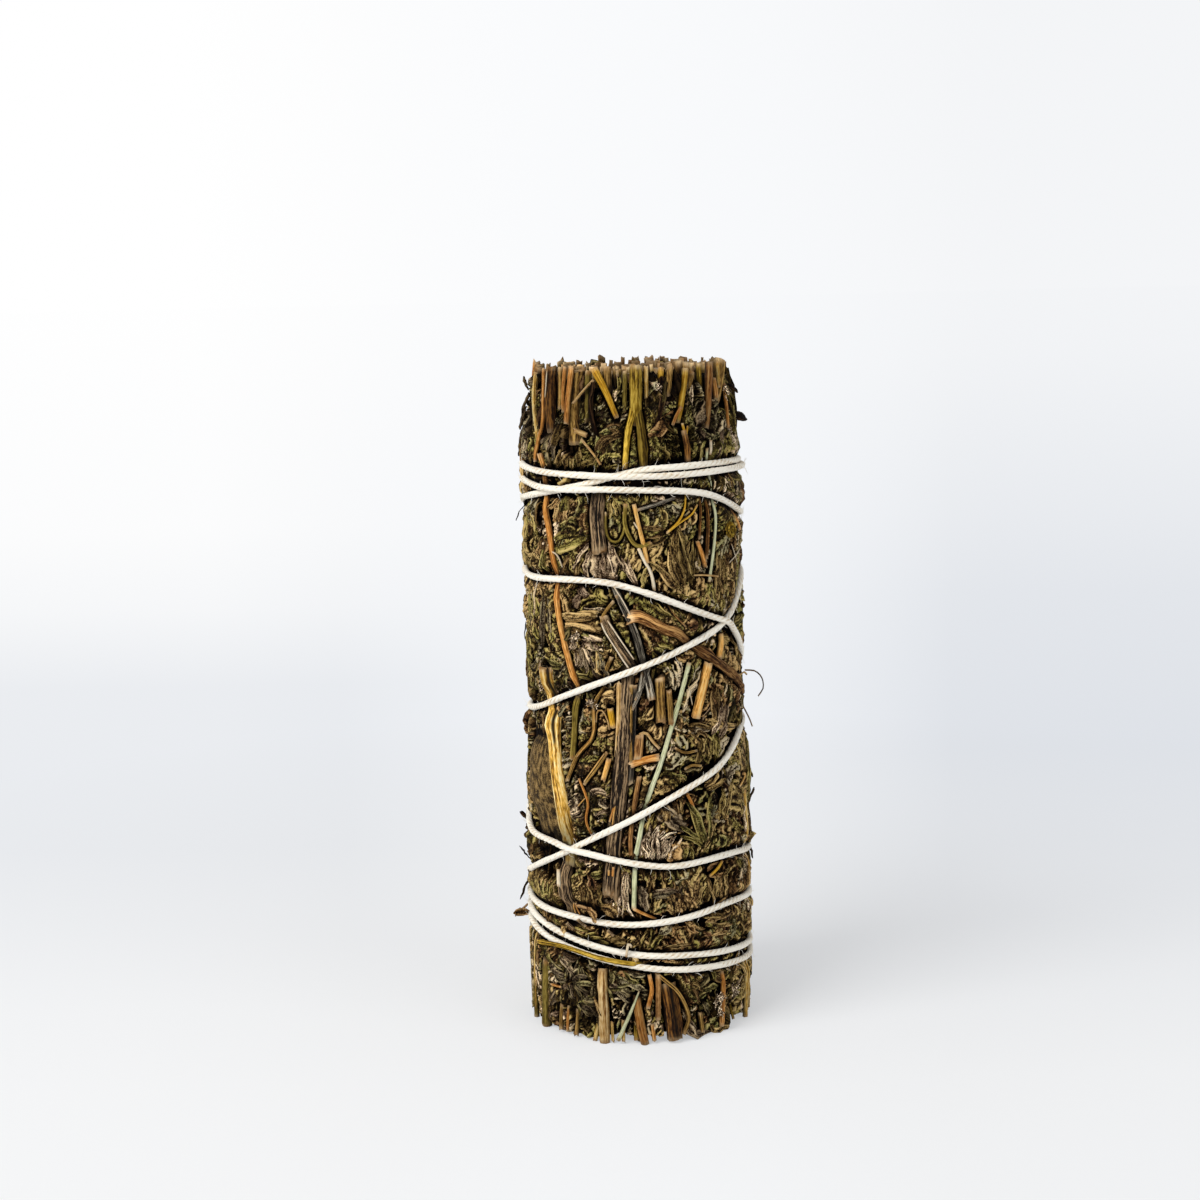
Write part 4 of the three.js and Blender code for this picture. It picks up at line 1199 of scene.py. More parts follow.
def rod(
    path, wide, thick, seed, sides=12, ridges=6, taper=(1.0, 1.0), rough=0.05, torn=0.2,
    slot=None, gap=0.55, hollow=0.0, slant=0.0, crack=False, level=1.0,
):
    """A ridged stem along a path, as points, triangles, grain and shade (light, cut wood, hidden), where
    light holds painted shade on its sides, back, split, crack and hollow, times its lightness.

    wide, thick: its half width and half thickness; taper: its size along it, as a share of those;
    torn: raggedness of its ends; slot: start and end of the stretch over which its face is split open, and
    how far round the split lies, gap wide, with painted shade in the split; hollow: how far down its first
    end is open, with painted shade on the inner wall; slant: how much lower that end is cut in front; crack:
    a line along its face, pressed in and darkened by painted shade; level: lightness, one number or rows
    of (place along it, lightness).
    """
    pick = np.random.default_rng(seed)
    n = len(path)
    along = unit(np.gradient(path, axis=0))
    out = square_to(path * (1, 1, 0), along)
    side = np.cross(along, out)
    run = distances(path)
    phi = np.linspace(0, 2 * np.pi, sides, endpoint=False)[None]
    s = run[:, None]
    form = rod_form(pick, s, phi, wide, ridges, rough)
    places, levels = np.atleast_2d(level if np.ndim(level) else (0, level)).T
    # painted shade: the sides and back of the stem darker than its outer face, times its lightness
    light = (0.30 + 0.70 * smooth((np.sin(phi) + 0.45) / 1.0)) * np.interp(s, places, levels)
    if slot:
        split = rod_split(s, phi, slot, gap)
        # painted shade in the split
        form, light = form * (1 - 0.3 * split), light * (1 - 0.98 * split)
    if crack:
        line = np.exp(-(((phi - np.pi / 2 - 0.2) / 0.16) ** 2))
        # painted shade in the crack
        form, light = form * (1 - 0.12 * line), light * (1 - 0.6 * line)
    radius = np.interp(np.linspace(0, len(taper) - 1, n), np.arange(len(taper)), taper)[:, None] * form
    jag = pick.normal(0, 1, (2, sides)) * torn * wide
    shift = np.zeros((n, sides))
    shift[0], shift[-1] = -np.abs(jag[0]), np.abs(jag[1])
    shift[0] += slant * (0.5 + 0.5 * np.sin(phi[0]))
    shift[1], shift[-2] = shift[0] * 0.3, shift[-1] * 0.3
    off = radius * wide * np.cos(phi)
    lift = radius * thick * np.sin(phi) - off**2 / (2 * OUTER_RADIUS)  # bent round the bundle
    rings = path[:, None] + side[:, None] * off[..., None]
    rings = rings + out[:, None] * lift[..., None] + along[:, None] * shift[..., None]
    cut = np.zeros((n, sides))
    cut[0] = cut[-1] = 0.85
    cut[1] = cut[-2] = 0.1
    grain = np.stack([phi / GRAIN_TURN + 0 * s + seed * 3.7, s + 0 * phi, 0 * (s + phi) + seed], -1)
    if hollow:  # the first end is a tube: its inner wall runs back down from the rim
        k = max(2, int(hollow / (run[-1] / (n - 1))) + 1)
        inner = rings[:k] + (path[:k, None] - rings[:k]) * 0.36
        fade = 1 - 0.85 * s[:k] / run[k - 1]
        rings = np.vstack([inner[::-1], rings])
        # painted shade on the inner wall, darker further down
        light = np.vstack([(light[:k] * 0.2 + 0.6) * fade[::-1], light])
        cut = np.vstack([np.zeros((k - 1, sides)), cut[:1], cut])
        grain = np.vstack([grain[:k][::-1], grain])
        n += k
    sink = 0.1 * wide
    first, last = rings[0].mean(0) + along[0] * sink, rings[-1].mean(0) - along[-1] * sink
    points = np.vstack([rings.reshape(-1, 3), [first], [last]])
    # painted shade in the middle of the hollow end
    ends = [[0.25, 0.0], [1.0, 1.0]] if hollow else [[1.0, 1.0], [1.0, 1.0]]
    look = np.vstack([np.stack([light, cut], -1).reshape(-1, 2), ends])
    shade = np.stack([look[:, 0], look[:, 1], np.zeros(len(points)), np.ones(len(points))], -1)
    grain = np.vstack([grain.reshape(-1, 3), [[seed, 0, seed], [seed, run[-1], seed]]])
    return points, tube_faces(n, sides), grain, shade


def make_rods(name, pieces, nodes, material, shade_map):
    """Rods gathered into one object, which may stand for CAD nodes."""
    points, triangles, grain, shade = merged(pieces)
    # painted shade from the shade map, in the third channel of the shade attribute
    shade[:, 2] = 0.8 * shade_map.at(points)
    obj = make_mesh(name, points, triangles, {"grain": grain, "shade": shade})
    stand_in(obj, nodes, material)


# Shares of the looks of the cut stems across the ends, and of those that stand round them
PEG_LOOKS = {
    "golden": 0.32, "woody": 0.2, "twig": 0.12, "amber": 0.12, "pale": 0.12, "green": 0.08, "bark": 0.04,
}
RING_LOOKS = {
    "woody": 0.12, "brown": 0.26, "forked": 0.2, "green": 0.14, "golden": 0.1, "bark": 0.08, "amber": 0.1,
}
BACK_LOOKS = ("woody", "brown", "amber", "golden", "bark", "silver", "grass", "green")


def end_pegs(pick, count, top):
    """Cut stems that stand in one end of the bundle, flush with it, as rods by look."""
    by_look = {}
    i = np.arange(count)
    reach = girth(100 if top else 2) - 1.4
    r = np.sqrt((i + 0.5) / count) * reach + pick.normal(0, 0.25, count)
    a = i * GOLDEN_TURN + pick.normal(0, 6, count)
    for k in range(count):
        look = pick.choice(list(PEG_LOOKS), p=list(PEG_LOOKS.values()))
        wide = float(np.clip(pick.gamma(4, 0.14), 0.22, 1.25))
        level = HEIGHT - 0.15 - pick.gamma(1.3, 0.8) if top else pick.gamma(1.2, 0.5)
        length = pick.uniform(4, 8)
        lean = pick.normal(0, 0.07, 2)
        t = np.linspace(0, 1, 5)[:, None]
        path = spot(r[k], a[k], level) + t * length * np.array([*lean, -1.0 if top else 1.0])
        hollow = 0.8 if wide > 0.6 and pick.random() < 0.35 else 0.0
        thick = wide * pick.uniform(0.7, 1)
        peg = rod(path, wide, thick, 500 + k, sides=9, torn=0.12, hollow=hollow, level=1.4)
        by_look.setdefault(look, []).append(peg)
    return by_look


def ring_stems(pick, count, top, taken):
    """Rows like those of TWIGS: cut stems that stand round one end, clear of the angles already taken."""
    rows = []
    for _ in range(count):
        a, depth = pick.uniform(-180, 180), pick.uniform(0.3, 1.7)
        look = pick.choice(list(RING_LOOKS), p=list(RING_LOOKS.values()))
        wide = float(np.clip(pick.gamma(4, 0.11), 0.2, 0.85))
        a2, cut, length = a + pick.normal(0, 2.5), pick.gamma(1.3, 0.45), pick.uniform(4, 10)
        if min(abs(a - t) for t in taken) < 3.2:
            continue
        ends = (HEIGHT - 0.1 - cut, HEIGHT - length) if top else (0.1 + 0.5 * cut, 1 + 0.6 * length)
        rows.append((look, wide, ((a, ends[0], depth), (a2, ends[1], depth + 0.9))))
    return rows


def back_twigs(pick, count):
    """Rows like those of TWIGS, scattered over the back."""
    rows = []
    for k in range(count):
        a, z = 104 + (k + pick.uniform(0, 1)) / count * 152, 8 + (k * 0.618 % 1) * 76
        look = pick.choice(BACK_LOOKS)
        wide = float(np.clip(pick.gamma(4, 0.08), 0.14, 0.6))
        length, lean = pick.uniform(6, 20), pick.normal(0, 14)
        bend = pick.normal(0, 3, 2)
        middle = (a + lean / 2 + bend[0], z + length / 2)
        rows.append((look, wide, ((a, z), middle, (a + lean + bend[1], z + length))))
    return rows


class Bed:
    """What lies on the leaves: how far it pushes them in, and how far out it reaches."""

    def __init__(self, path, route):
        self.strings = tree_of(on_surface(route[:, 0], route[:, 1], 0.0))
        self.string_press, self.stem_press = Press(), Press()
        self.string_press.strand(on_front(route[::2, 0]), route[::2, 1], 0.55, 0.75, 1.3)
        self.tops = np.full((AROUND, UP), 9.0)
        cover_line(self.tops, path, STRING_RADIUS)

    def add_stem(self, line, places, wide, thick, push=True):
        """Leaves lie under the stem, if it pushes them in, and get painted shade from it."""
        cover_line(self.tops, line, wide * 0.8)
        if push:
            half, depth = wide * 0.95 + 0.1, thick * 1.3 + 0.2
            self.stem_press.strand(on_front(places[:, 0]), places[:, 1], half, depth, 0.5)


# The functions below return rows of (name, rods, look, CAD nodes).
def single_stems(bed):
    rows = []
    for k, (name, (look, wide, thick, spots, shape)) in enumerate(STEMS.items()):
        line, places = stem_path(spots, wide, thick, bed.strings)
        bed.add_stem(line, places, wide, thick)
        rows.append((name + "_piece", [rod(line, wide, thick, 100 + k, **shape)], look, [name]))
    return rows


def inner_stems():
    rows = []
    for k, (name, (radius, angle, top)) in enumerate(INNER_STEMS.items()):
        z = np.linspace(top, 0.0, 60)
        line = spot(np.interp(z, [0, 30, 60, top], [5.9, 6.1, 5.7, 6.2]), angle, z)
        rows.append((name + "_piece", [rod(line, radius, radius, 200 + k)], "woody", [name]))
    z = np.linspace(HEIGHT - 1.4, 0, 60)
    middle = np.stack([0 * z, 0 * z - 0.001, z], -1)
    main = rod(middle, 2.3, 2.3, 300, sides=30, ridges=11, hollow=2.0)
    return [*rows, ("main_stem_piece", [main], "woody", ["main_stem"])]


def forked_stem(bed):
    """The stem at the top of the front, with its two limbs."""
    pieces = []
    for k, (wide, taper, lightness, spots) in enumerate(FORKED_STEM):
        line, places = stem_path(spots, wide, wide, bed.strings)
        bed.add_stem(line, places, wide, wide)
        limb = rod(line, wide, wide, 60 + k, sides=16, taper=taper, rough=0.03)
        # lightness: each limb's own colour with painted light and shade
        limb[3][:, 0] *= lightness
        pieces.append(limb)
    return [("forked_stem_piece", pieces, "forked", ["forked_stem_top"])]


def small_twigs(bed):
    """The twigs of the table, those round both ends and those of the back, by look."""
    routes = [row[3] for row in STEMS.values()] + [row[2] for row in TWIGS]
    taken_top = [r[0][0] for r in routes if r[0][1] > 98]
    taken_foot = [p[0] for r in routes for p in (r[0], r[-1]) if p[1] < 1.5]
    rows = [*TWIGS, *ring_stems(np.random.default_rng(83), 76, True, taken_top)]
    rows += ring_stems(np.random.default_rng(84), 32, False, taken_foot)
    rows += back_twigs(np.random.default_rng(85), 36)
    by_look = {}
    for k, (look, wide, spots) in enumerate(rows):
        line, places = stem_path(spots, wide, wide * 0.9, bed.strings, 0.5)
        sides = 6 if wide < 0.2 else 8
        twig = rod(line, wide, wide * 0.9, 400 + k, sides=sides, torn=0.5, rough=0.06)
        by_look.setdefault(look, []).append(twig)
        highest = min(p[-1] if len(p) > 2 else 0 for p in spots)
        bed.add_stem(line, places, wide, wide, highest > -0.6)
    return [(look + "_twigs", pieces, look, []) for look, pieces in by_look.items()]


def all_pegs():
    rows = []
    for top, count, seed in ((True, 110, 81), (False, 60, 82)):
        ending = "_ends_top" if top else "_ends_foot"
        by_look = end_pegs(np.random.default_rng(seed), count, top)
        rows += [(look + ending, pieces, look, []) for look, pieces in by_look.items()]
    return rows


# ---------- leaves ----------
# Leaves that show on the front, each a fan of lobes that starts at (angle, height):
# (angle, height, heading, lobes, degrees between them, length, width, curl, tone, bright, depth)
FRONT_LEAVES = (
    # hanging down from the top rim
    (-44, 92.6, 192, 5, 12, 4.4, 0.8, 20, 0.84, 0.8, 0.1),
    (-37, 93.6, 172, 3, 14, 4.2, 1.3, 20, 0.5, 0.95, 0),
    (-34, 90.6, 165, 4, 13, 4.6, 1.1, 30, 0.54, 0.9, 0),
    (-16, 88.6, -4, 3, 6, 7.6, 0.75, 112, 0.44, 0.8, -0.1),
    (-13, 92.9, 62, 2, 10, 3, 0.8, 70, 0.46, 0.8, -0.1),
    (13, 98.4, 176, 3, 9, 6.6, 0.8, 16, 0.56, 0.85, 0.1),
    # between the upper strings and the long one
    (-50, 74.8, 206, 2, 8, 4.2, 0.8, -10, 0.66, 0.9, 0),
    (-38.5, 82.6, 190, 3, 12, 3.4, 0.9, 16, 0.36, 1.1, -0.15),
    (-30, 74.4, 200, 3, 8, 5, 1, 30, 0.46, 0.85, 0.1), (-24, 75, 196, 3, 7, 5.2, 0.9, 24, 0.5, 0.8, 0.1),
    (-36, 72.6, 164, 2, 8, 3.4, 0.9, 10, 0.44, 0.8, 0.1),
    (-16.4, 76.2, 184, 6, 8, 5.8, 0.95, 0, 0.9, 0.9, -0.35),
    (2.6, 69.4, -22, 2, 5, 5.8, 0.7, -14, 0.9, 0.85, -0.15),
    (-6, 83, 168, 4, 20, 3, 1.2, -20, 0.56, 1, -0.05), (-1.5, 81.6, 186, 2, 7, 3, 0.9, 10, 0.6, 1, -0.1),
    (28, 69.9, -30, 4, 9, 8.4, 1.15, 16, 0.5, 0.85, -0.05), (31, 69.9, -6, 3, 8, 8, 1, -8, 0.54, 0.85, 0),
    (23, 69.6, -40, 2, 9, 6.4, 1.3, 28, 0.47, 0.8, 0),
    (17, 77.6, 262, 3, 9, 4.4, 0.9, -10, 0.44, 0.85, -0.1),
    (15, 72.2, 64, 3, 14, 4.2, 0.8, 84, 0.42, 0.9, -0.05), (52, 74, 176, 4, 7, 7, 0.9, 10, 0.46, 0.8, 0.1),
    (42, 69, 176, 5, 12, 3.4, 0.7, 16, 0.58, 0.95, 0),
    (52, 67.4, 184, 5, 10, 3.4, 0.7, -14, 0.56, 0.9, 0.1),
    # between the long string and the rising one
    (-53, 68.4, 178, 3, 4, 8.6, 0.95, 6, 0.82, 0.8, 0),
    (-40, 64.4, 78, 2, 6, 7.6, 1.6, 14, 0.42, 0.9, -0.1),
    (-41, 62.6, 96, 3, 9, 4.8, 1.2, 20, 0.44, 0.85, 0),
    (-30, 60.8, 150, 3, 14, 3.8, 0.9, 60, 0.88, 0.75, 0),
    (-33, 61.4, 180, 3, 20, 2.4, 0.6, 120, 0.95, 0.9, -0.1),
    (-22, 60.4, 176, 4, 9, 6, 0.8, -10, 0.84, 0.8, 0.1),
    (-51, 57.9, 120, 2, 10, 3.2, 1.1, -50, 0.7, 1.05, -0.1),
    (-37, 58.4, 170, 2, 10, 4, 1, 14, 0.78, 0.95, -0.05),
    (-32, 55.8, 100, 3, 10, 3.8, 0.9, 30, 0.7, 0.95, 0), (-27, 57.8, 172, 3, 8, 5, 0.9, 8, 0.62, 0.85, 0.1),
    (8, 67.2, 150, 3, 14, 4.6, 1, -60, 0.58, 0.85, 0.1), (17, 67.4, 110, 4, 12, 4, 0.9, 40, 0.6, 0.85, 0.1),
    (33, 65.4, 196, 2, 8, 4.6, 1.25, 8, 0.54, 0.85, -0.1), (25, 63, 52, 2, 9, 4.2, 1, 10, 0.46, 1, -0.1),
    (10, 60.8, 118, 3, 13, 4, 1.1, 20, 0.66, 0.95, -0.05),
    (13, 57.8, 190, 3, 8, 4.6, 0.9, 10, 0.56, 0.85, 0.1), (44, 62, 196, 4, 9, 4.2, 0.8, 20, 0.5, 0.8, 0.1),
    # below the rising string
    (-41, 52.6, 210, 3, 12, 3.2, 0.9, 40, 0.84, 0.8, 0.1),
    (-40, 48.6, 60, 3, 14, 3.6, 0.8, 70, 0.84, 0.85, 0.1),
    (-24, 38.4, 20, 2, 10, 4.2, 0.7, 170, 0.9, 0.85, -0.1),
    (-18, 38.2, 186, 2, 10, 4.4, 0.7, -150, 0.9, 0.85, -0.1),
    (-20, 35.2, 30, 2, 10, 4, 0.7, 160, 0.88, 0.85, -0.1), (-28, 36, 190, 3, 14, 3, 0.6, 110, 0.9, 0.9, 0),
    (-33, 37.6, 176, 3, 12, 3, 0.6, 90, 0.9, 0.9, 0), (53, 50.8, 196, 2, 7, 4.8, 1.3, 10, 0.94, 0.9, -0.1),
    (47, 53.6, 188, 3, 7, 6, 0.9, -8, 0.44, 0.8, 0.1), (46, 46.4, 176, 4, 9, 4.2, 0.8, 14, 0.6, 0.8, 0.1),
    (28, 47.6, 96, 4, 12, 4.8, 0.7, 60, 0.44, 0.9, 0), (38, 46.4, 176, 3, 10, 4.6, 0.9, 40, 0.5, 0.8, 0.1),
    (52, 44.8, 190, 4, 8, 5, 0.6, -6, 0.6, 0.85, 0.1), (12, 38, 140, 4, 9, 4.4, 0.8, 30, 0.42, 0.8, 0.1),
    # between the crossing strings
    (36, 30.2, -14, 3, 12, 8, 0.95, 6, 0.66, 0.95, -0.1),
    (35, 30.2, -60, 2, 8, 5.6, 0.8, 20, 0.62, 0.9, -0.1), (47, 33.4, 12, 2, 8, 6.4, 1, 26, 0.5, 0.85, -0.1),
    (37, 38.6, 70, 2, 7, 4.6, 0.8, 10, 0.46, 0.9, -0.1),
    (3.5, 29, 2, 5, 8, 4.6, 0.5, 20, 0.95, 1.05, -0.15), (8, 28.6, 4, 6, 7, 5, 0.5, -20, 0.95, 1.05, -0.2),
    (12, 28.8, 6, 5, 8, 4.4, 0.5, 30, 0.95, 1, -0.15), (8, 31.6, 0, 5, 14, 2.6, 0.45, 60, 0.96, 1.1, -0.25),
    (0, 31.4, 184, 4, 7, 5.4, 0.6, 10, 0.4, 0.8, 0.1), (24, 30.6, 176, 3, 10, 4.4, 0.8, 20, 0.62, 0.8, 0.1),
    # below the crossing strings
    (-54, 25, 184, 3, 8, 5, 0.8, -14, 0.68, 0.9, 0), (-47, 25.6, 196, 2, 8, 4.8, 0.8, -10, 0.6, 0.9, 0),
    (-30, 25.2, 160, 3, 7, 6.4, 0.7, 10, 0.46, 0.85, 0), (-24, 24.8, 172, 3, 9, 5, 0.8, 20, 0.5, 0.8, 0.1),
    (-25, 26.2, 88, 1, 0, 3.4, 1.4, 10, 0.7, 0.85, 0), (-10, 27.4, 176, 5, 3, 8, 0.6, 4, 0.93, 0.9, -0.1),
    (-6, 27, 172, 5, 3, 7.6, 0.6, -4, 0.93, 0.9, -0.05),
    (-33, 21.4, 96, 1, 0, 2.6, 0.9, 20, 0.14, 0.9, -0.8),
    (-26, 21.2, 112, 2, 6, 3.4, 0.7, 66, 0.24, 1.15, -1), (1.5, 24.6, 182, 2, 6, 3.8, 0.9, 6, 0.84, 0.8, 0),
    (6, 23.4, 84, 2, 7, 4.8, 0.9, 10, 0.82, 0.85, -0.05),
    (20, 25.6, 176, 4, 14, 3.6, 0.7, -50, 0.42, 0.85, 0.1),
    (34, 25, 178, 4, 7, 5.4, 0.8, 6, 0.46, 0.8, 0.1), (45, 25.2, 184, 4, 8, 5, 0.8, -6, 0.46, 0.8, 0.1),
    (-38, 17, 96, 3, 12, 3.4, 1.1, 30, 0.6, 0.95, 0), (-28, 15.4, 30, 3, 14, 3.4, 0.8, 90, 0.62, 0.9, 0),
    (-16, 15.6, 40, 3, 12, 3.6, 0.8, 80, 0.48, 0.85, 0),
    (-52, 17.4, 120, 3, 10, 3.4, 1.1, 20, 0.62, 0.9, 0),
    (8.6, 17.4, 60, 1, 0, 2.6, 1.2, 6, 0.82, 0.95, -0.1), (12, 14.6, 80, 3, 7, 4.4, 0.6, 6, 0.46, 0.9, 0),
    (34, 18.4, 86, 4, 6, 5.6, 0.8, 10, 0.44, 0.8, 0), (36, 15.6, 82, 3, 6, 5, 0.7, -6, 0.46, 0.85, 0),
    (22, 15.2, 170, 3, 12, 3, 0.8, 20, 0.46, 0.8, 0.1),
    # the foot
    (-48, 12.6, 156, 2, 10, 3.2, 0.9, 10, 0.6, 0.85, 0.1),
    (-38, 9.2, 40, 4, 17, 3.6, 0.75, 20, 0.8, 0.9, -0.1),
    (-38, 9, 150, 4, 15, 3.6, 0.7, -20, 0.8, 0.9, -0.1),
    (-41, 9.4, 250, 4, 17, 3.2, 0.75, 20, 0.82, 0.85, -0.1),
    (-33, 6.4, 120, 3, 15, 3.4, 0.8, -30, 0.8, 0.85, 0),
    (-47, 6.8, 200, 3, 12, 4.2, 0.9, 26, 0.82, 0.85, 0),
    (-44, 12.8, 120, 2, 10, 3.4, 1.2, 10, 0.83, 0.9, -0.05),
    (-33, 11.8, 186, 3, 9, 3.6, 0.7, -14, 0.8, 0.85, 0), (-30, 4.8, 70, 3, 14, 3.2, 0.8, 30, 0.8, 0.8, 0.1),
    (-14.6, 11.6, 183, 1, 0, 3.3, 1, -4, 0.76, 0.85, -0.1),
    (-25, 9.7, 94, 2, 12, 4.6, 1.2, 30, 0.8, 0.9, -0.2),
    (-12, 9.4, 110, 3, 14, 4.2, 1, 40, 0.8, 0.9, -0.05),
    (-9, 11.6, 150, 3, 15, 3.2, 0.8, -50, 0.78, 0.9, 0),
    (-2, 10.6, 222, 2, 9, 3.2, 0.7, 10, 0.78, 0.95, -0.1),
    (26, 9.6, 130, 3, 12, 3.8, 0.8, 20, 0.5, 0.85, 0.1),
    (30, 7.6, 60, 2, 12, 3.2, 1.3, 10, 0.72, 0.95, -0.05),
    (33, 5.6, 150, 3, 11, 3.4, 0.8, 26, 0.74, 0.85, 0.1), (38, 9.6, 100, 3, 9, 3.8, 0.8, 20, 0.48, 0.85, 0),
    (54, 8.6, 62, 3, 9, 3.6, 0.6, 10, 0.46, 0.85, 0), (42, 11.4, 190, 2, 8, 3, 0.7, 20, 0.66, 1, -0.05),
)
# Broad leaves: (angle, height, heading, length, width, curl, roll, tone, bright, depth)
BROAD_LEAVES = (
    (39, 100.4, 192, 4.6, 2.2, 6, 20, 0.82, 0.7, 0.1), (49, 97.2, 200, 7, 2.6, 8, -10, 0.86, 0.8, -0.1),
    (-14.6, 69.8, 0, 7.4, 4.4, 4, 0, 0.9, 0.95, -0.35), (9.5, 90.8, 42, 6.2, 2.2, 0, 10, 0.27, 1.2, -0.25),
    (-5.4, 95.2, 190, 3.2, 1.2, 8, 10, 0.76, 1, -0.1),
    (-47, 75.2, 66, 8.4, 3.9, 12, -20, 0.64, 0.95, -0.25),
    (-41, 78, 70, 5.6, 2.2, -10, 26, 0.68, 0.9, -0.1),
    (-24.5, 83.2, 190, 3.3, 1.9, 10, -12, 0.74, 0.95, -0.15),
    (-38, 82, 184, 3, 2.2, 10, 10, 0.36, 0.95, -0.1), (23, 66.4, 62, 5, 2.8, 10, -10, 0.42, 1.2, -0.1),
    (-34, 64.6, 84, 7.6, 3.4, 8, -14, 0.44, 0.9, -0.1), (-28, 61.8, 98, 4.8, 2.6, 14, 16, 0.93, 0.9, -0.1),
    (36, 65.6, 190, 4.8, 2.6, 8, -18, 0.58, 0.8, -0.15),
    (11, 60.6, 130, 3.8, 2.8, 10, 10, 0.68, 0.9, -0.15),
    (8, 36.9, 126, 6.6, 2.8, 10, -10, 0.86, 0.75, -0.1), (18, 31.1, 182, 4, 2.3, 6, 6, 0.29, 1.7, -0.3),
    (-63, 13.4, 128, 5, 2.9, 14, -10, 0.66, 1, -0.15), (-52, 76.6, 190, 4.4, 2.4, 10, 10, 0.4, 0.75, 0),
    (6.5, 23.3, 86, 5, 1.7, 6, -8, 0.86, 0.85, -0.1), (0.6, 24.9, 184, 4, 1.7, 6, 10, 0.86, 0.75, 0),
    (-12, 8.8, 96, 5, 2.6, 10, -10, 0.8, 0.85, 0), (-26, 9.6, 92, 4.6, 2.2, 16, 12, 0.8, 0.9, -0.15),
    (53, 51, 192, 4.8, 2.2, 8, 10, 0.94, 0.8, 0), (28, 7.2, 50, 3.6, 2.2, 10, -10, 0.72, 0.9, 0),
    (6, 92.2, 186, 3.4, 2, 8, 12, 0.56, 0.7, 0.3), (16, 90.6, 176, 3.6, 2.2, -8, 12, 0.6, 0.8, 0.2),
    (-34, 19, 100, 3.4, 2.2, 8, -8, 0.62, 0.9, 0), (44, 83, 184, 3.4, 1.8, 6, 14, 0.4, 0.7, 0.2),
    (58, 68.4, 184, 3.8, 2, 8, -14, 0.56, 0.75, 0.1), (22, 42.6, 84, 5.6, 2.6, 20, 10, 0.78, 0.7, 0.1),
    (-49, 58.4, 128, 3.4, 2, -20, 10, 0.72, 0.95, -0.1), (-35, 56, 86, 4.4, 2, 14, -8, 0.7, 0.9, -0.05),
    (-51, 25.2, 180, 4.6, 1.8, 8, 12, 0.7, 0.8, 0), (66, 22, 184, 4.6, 1.8, 8, 10, 0.44, 0.7, 0.1),
)
# Tips and leaves that stick out past the bundle's outline:
# (angle, height, heading, length, width, lift, tone, bright)
STRAYS = (
    (-80, 97.8, 178, 3.2, 1.3, 0.4, 0.84, 0.6), (-86, 95.6, 176, 3.6, 1.5, 0.5, 0.84, 0.6),
    (-90, 93, 178, 3.2, 1.4, 0.4, 0.84, 0.55), (-88, 98, 4, 2.2, 1.3, 0.8, 0.82, 0.7),
    (-92, 90.8, 178, 3, 1.3, 0.4, 0.1, 0.4), (-88, 80.4, 150, 2.4, 0.5, 0.9, 0, 0.35),
    (-90, 63.4, 184, 4.2, 0.5, 0.4, 0, 0.3), (-90, 30.8, 20, 1.8, 1.1, 1.1, 0.05, 0.5),
    (-88, 24.6, 10, 2.6, 0.6, 1.3, 0, 0.35), (-88, 21.8, 160, 3.6, 0.9, 1.4, 0, 0.4),
    (-92, 17.4, 170, 2.6, 0.9, 2.4, 0.16, 0.9), (-90, 15.6, 60, 3.4, 1.3, 2.6, 0.26, 0.9),
    (82, 93.6, 96, 3.4, 1.5, 1.6, 0.05, 0.5), (76, 98.4, 120, 2.2, 1, 0.9, 0.05, 0.45),
    (88, 40.2, 186, 3, 1.2, 0.8, 0.6, 0.6), (90, 32.4, 4, 2.8, 1.1, 1, 0.05, 0.5),
    (86, 36.4, 10, 2.2, 0.7, 0.8, 0.2, 0.9), (86, 26.8, 180, 2.6, 0.9, 0.5, 0.1, 0.5),
)
# White woolly tufts: (angle, height, size)
FLUFFS = (
    (16, 98.8, 0.45), (66, 97.6, 1), (42, 5.4, 1.2), (43, 3.2, 0.9), (54, 5.9, 1.1), (-31.5, 62.2, 0.9),
    (-57, 53.9, 0.8), (-23, 52.2, 0.9),
)


def members(counts):
    """For each lobe of fans with so many lobes: its fan, and its rank from the fan's middle."""
    owner = np.repeat(np.arange(len(counts)), counts)
    return owner, np.concatenate([np.arange(k) - (k - 1) / 2 for k in counts])


def placed_fans(rows, seed):
    """Lobes of the fans in a table like FRONT_LEAVES, a little irregular."""
    pick = np.random.default_rng(seed)
    table = np.array(rows, float)
    owner, rank = members(table[:, 3].astype(int))
    a, z, heading, _, spread, length, width, curl, tone, bright, depth = table[owner].T
    n = len(owner)
    slope = np.radians(heading)
    off = rank * width * 0.75
    return Lobes(
        angle=a + np.degrees(off * np.cos(slope) / MEAN_RADIUS), z=z - off * np.sin(slope),
        heading=heading + rank * spread + pick.normal(0, 4, n), curl=curl + pick.normal(0, 10, n),
        hook=pick.normal(0, 24, n), wave=pick.normal(0, 6, n), phase=pick.uniform(0, FULL_TURN, n),
        length=length * pick.uniform(0.75, 1.1, n), width=width * pick.uniform(0.85, 1.2, n),
        d0=depth + 0.15 + pick.normal(0, 0.08, n), d1=depth + pick.normal(0.05, 0.12, n),
        bow=pick.uniform(0, 0.2, n), roll=pick.normal(0, 24, n),
        tone=np.clip(tone + pick.normal(0, 0.03, n), 0, 1), bright=bright * pick.uniform(0.8, 1.2, n),
    )


# Place on the leaves' scale of tones, and its colour: dark brown, tan, olive, grey-green, pale
LEAF_TONES = (
    (0, (50, 32, 20)), (0.12, (88, 60, 38)), (0.25, (136, 102, 62)), (0.4, (146, 118, 74)),
    (0.5, (134, 112, 66)), (0.62, (118, 106, 52)), (0.74, (104, 98, 54)), (0.84, (130, 118, 92)),
    (0.92, (176, 152, 120)), (1, (226, 204, 170)),
)


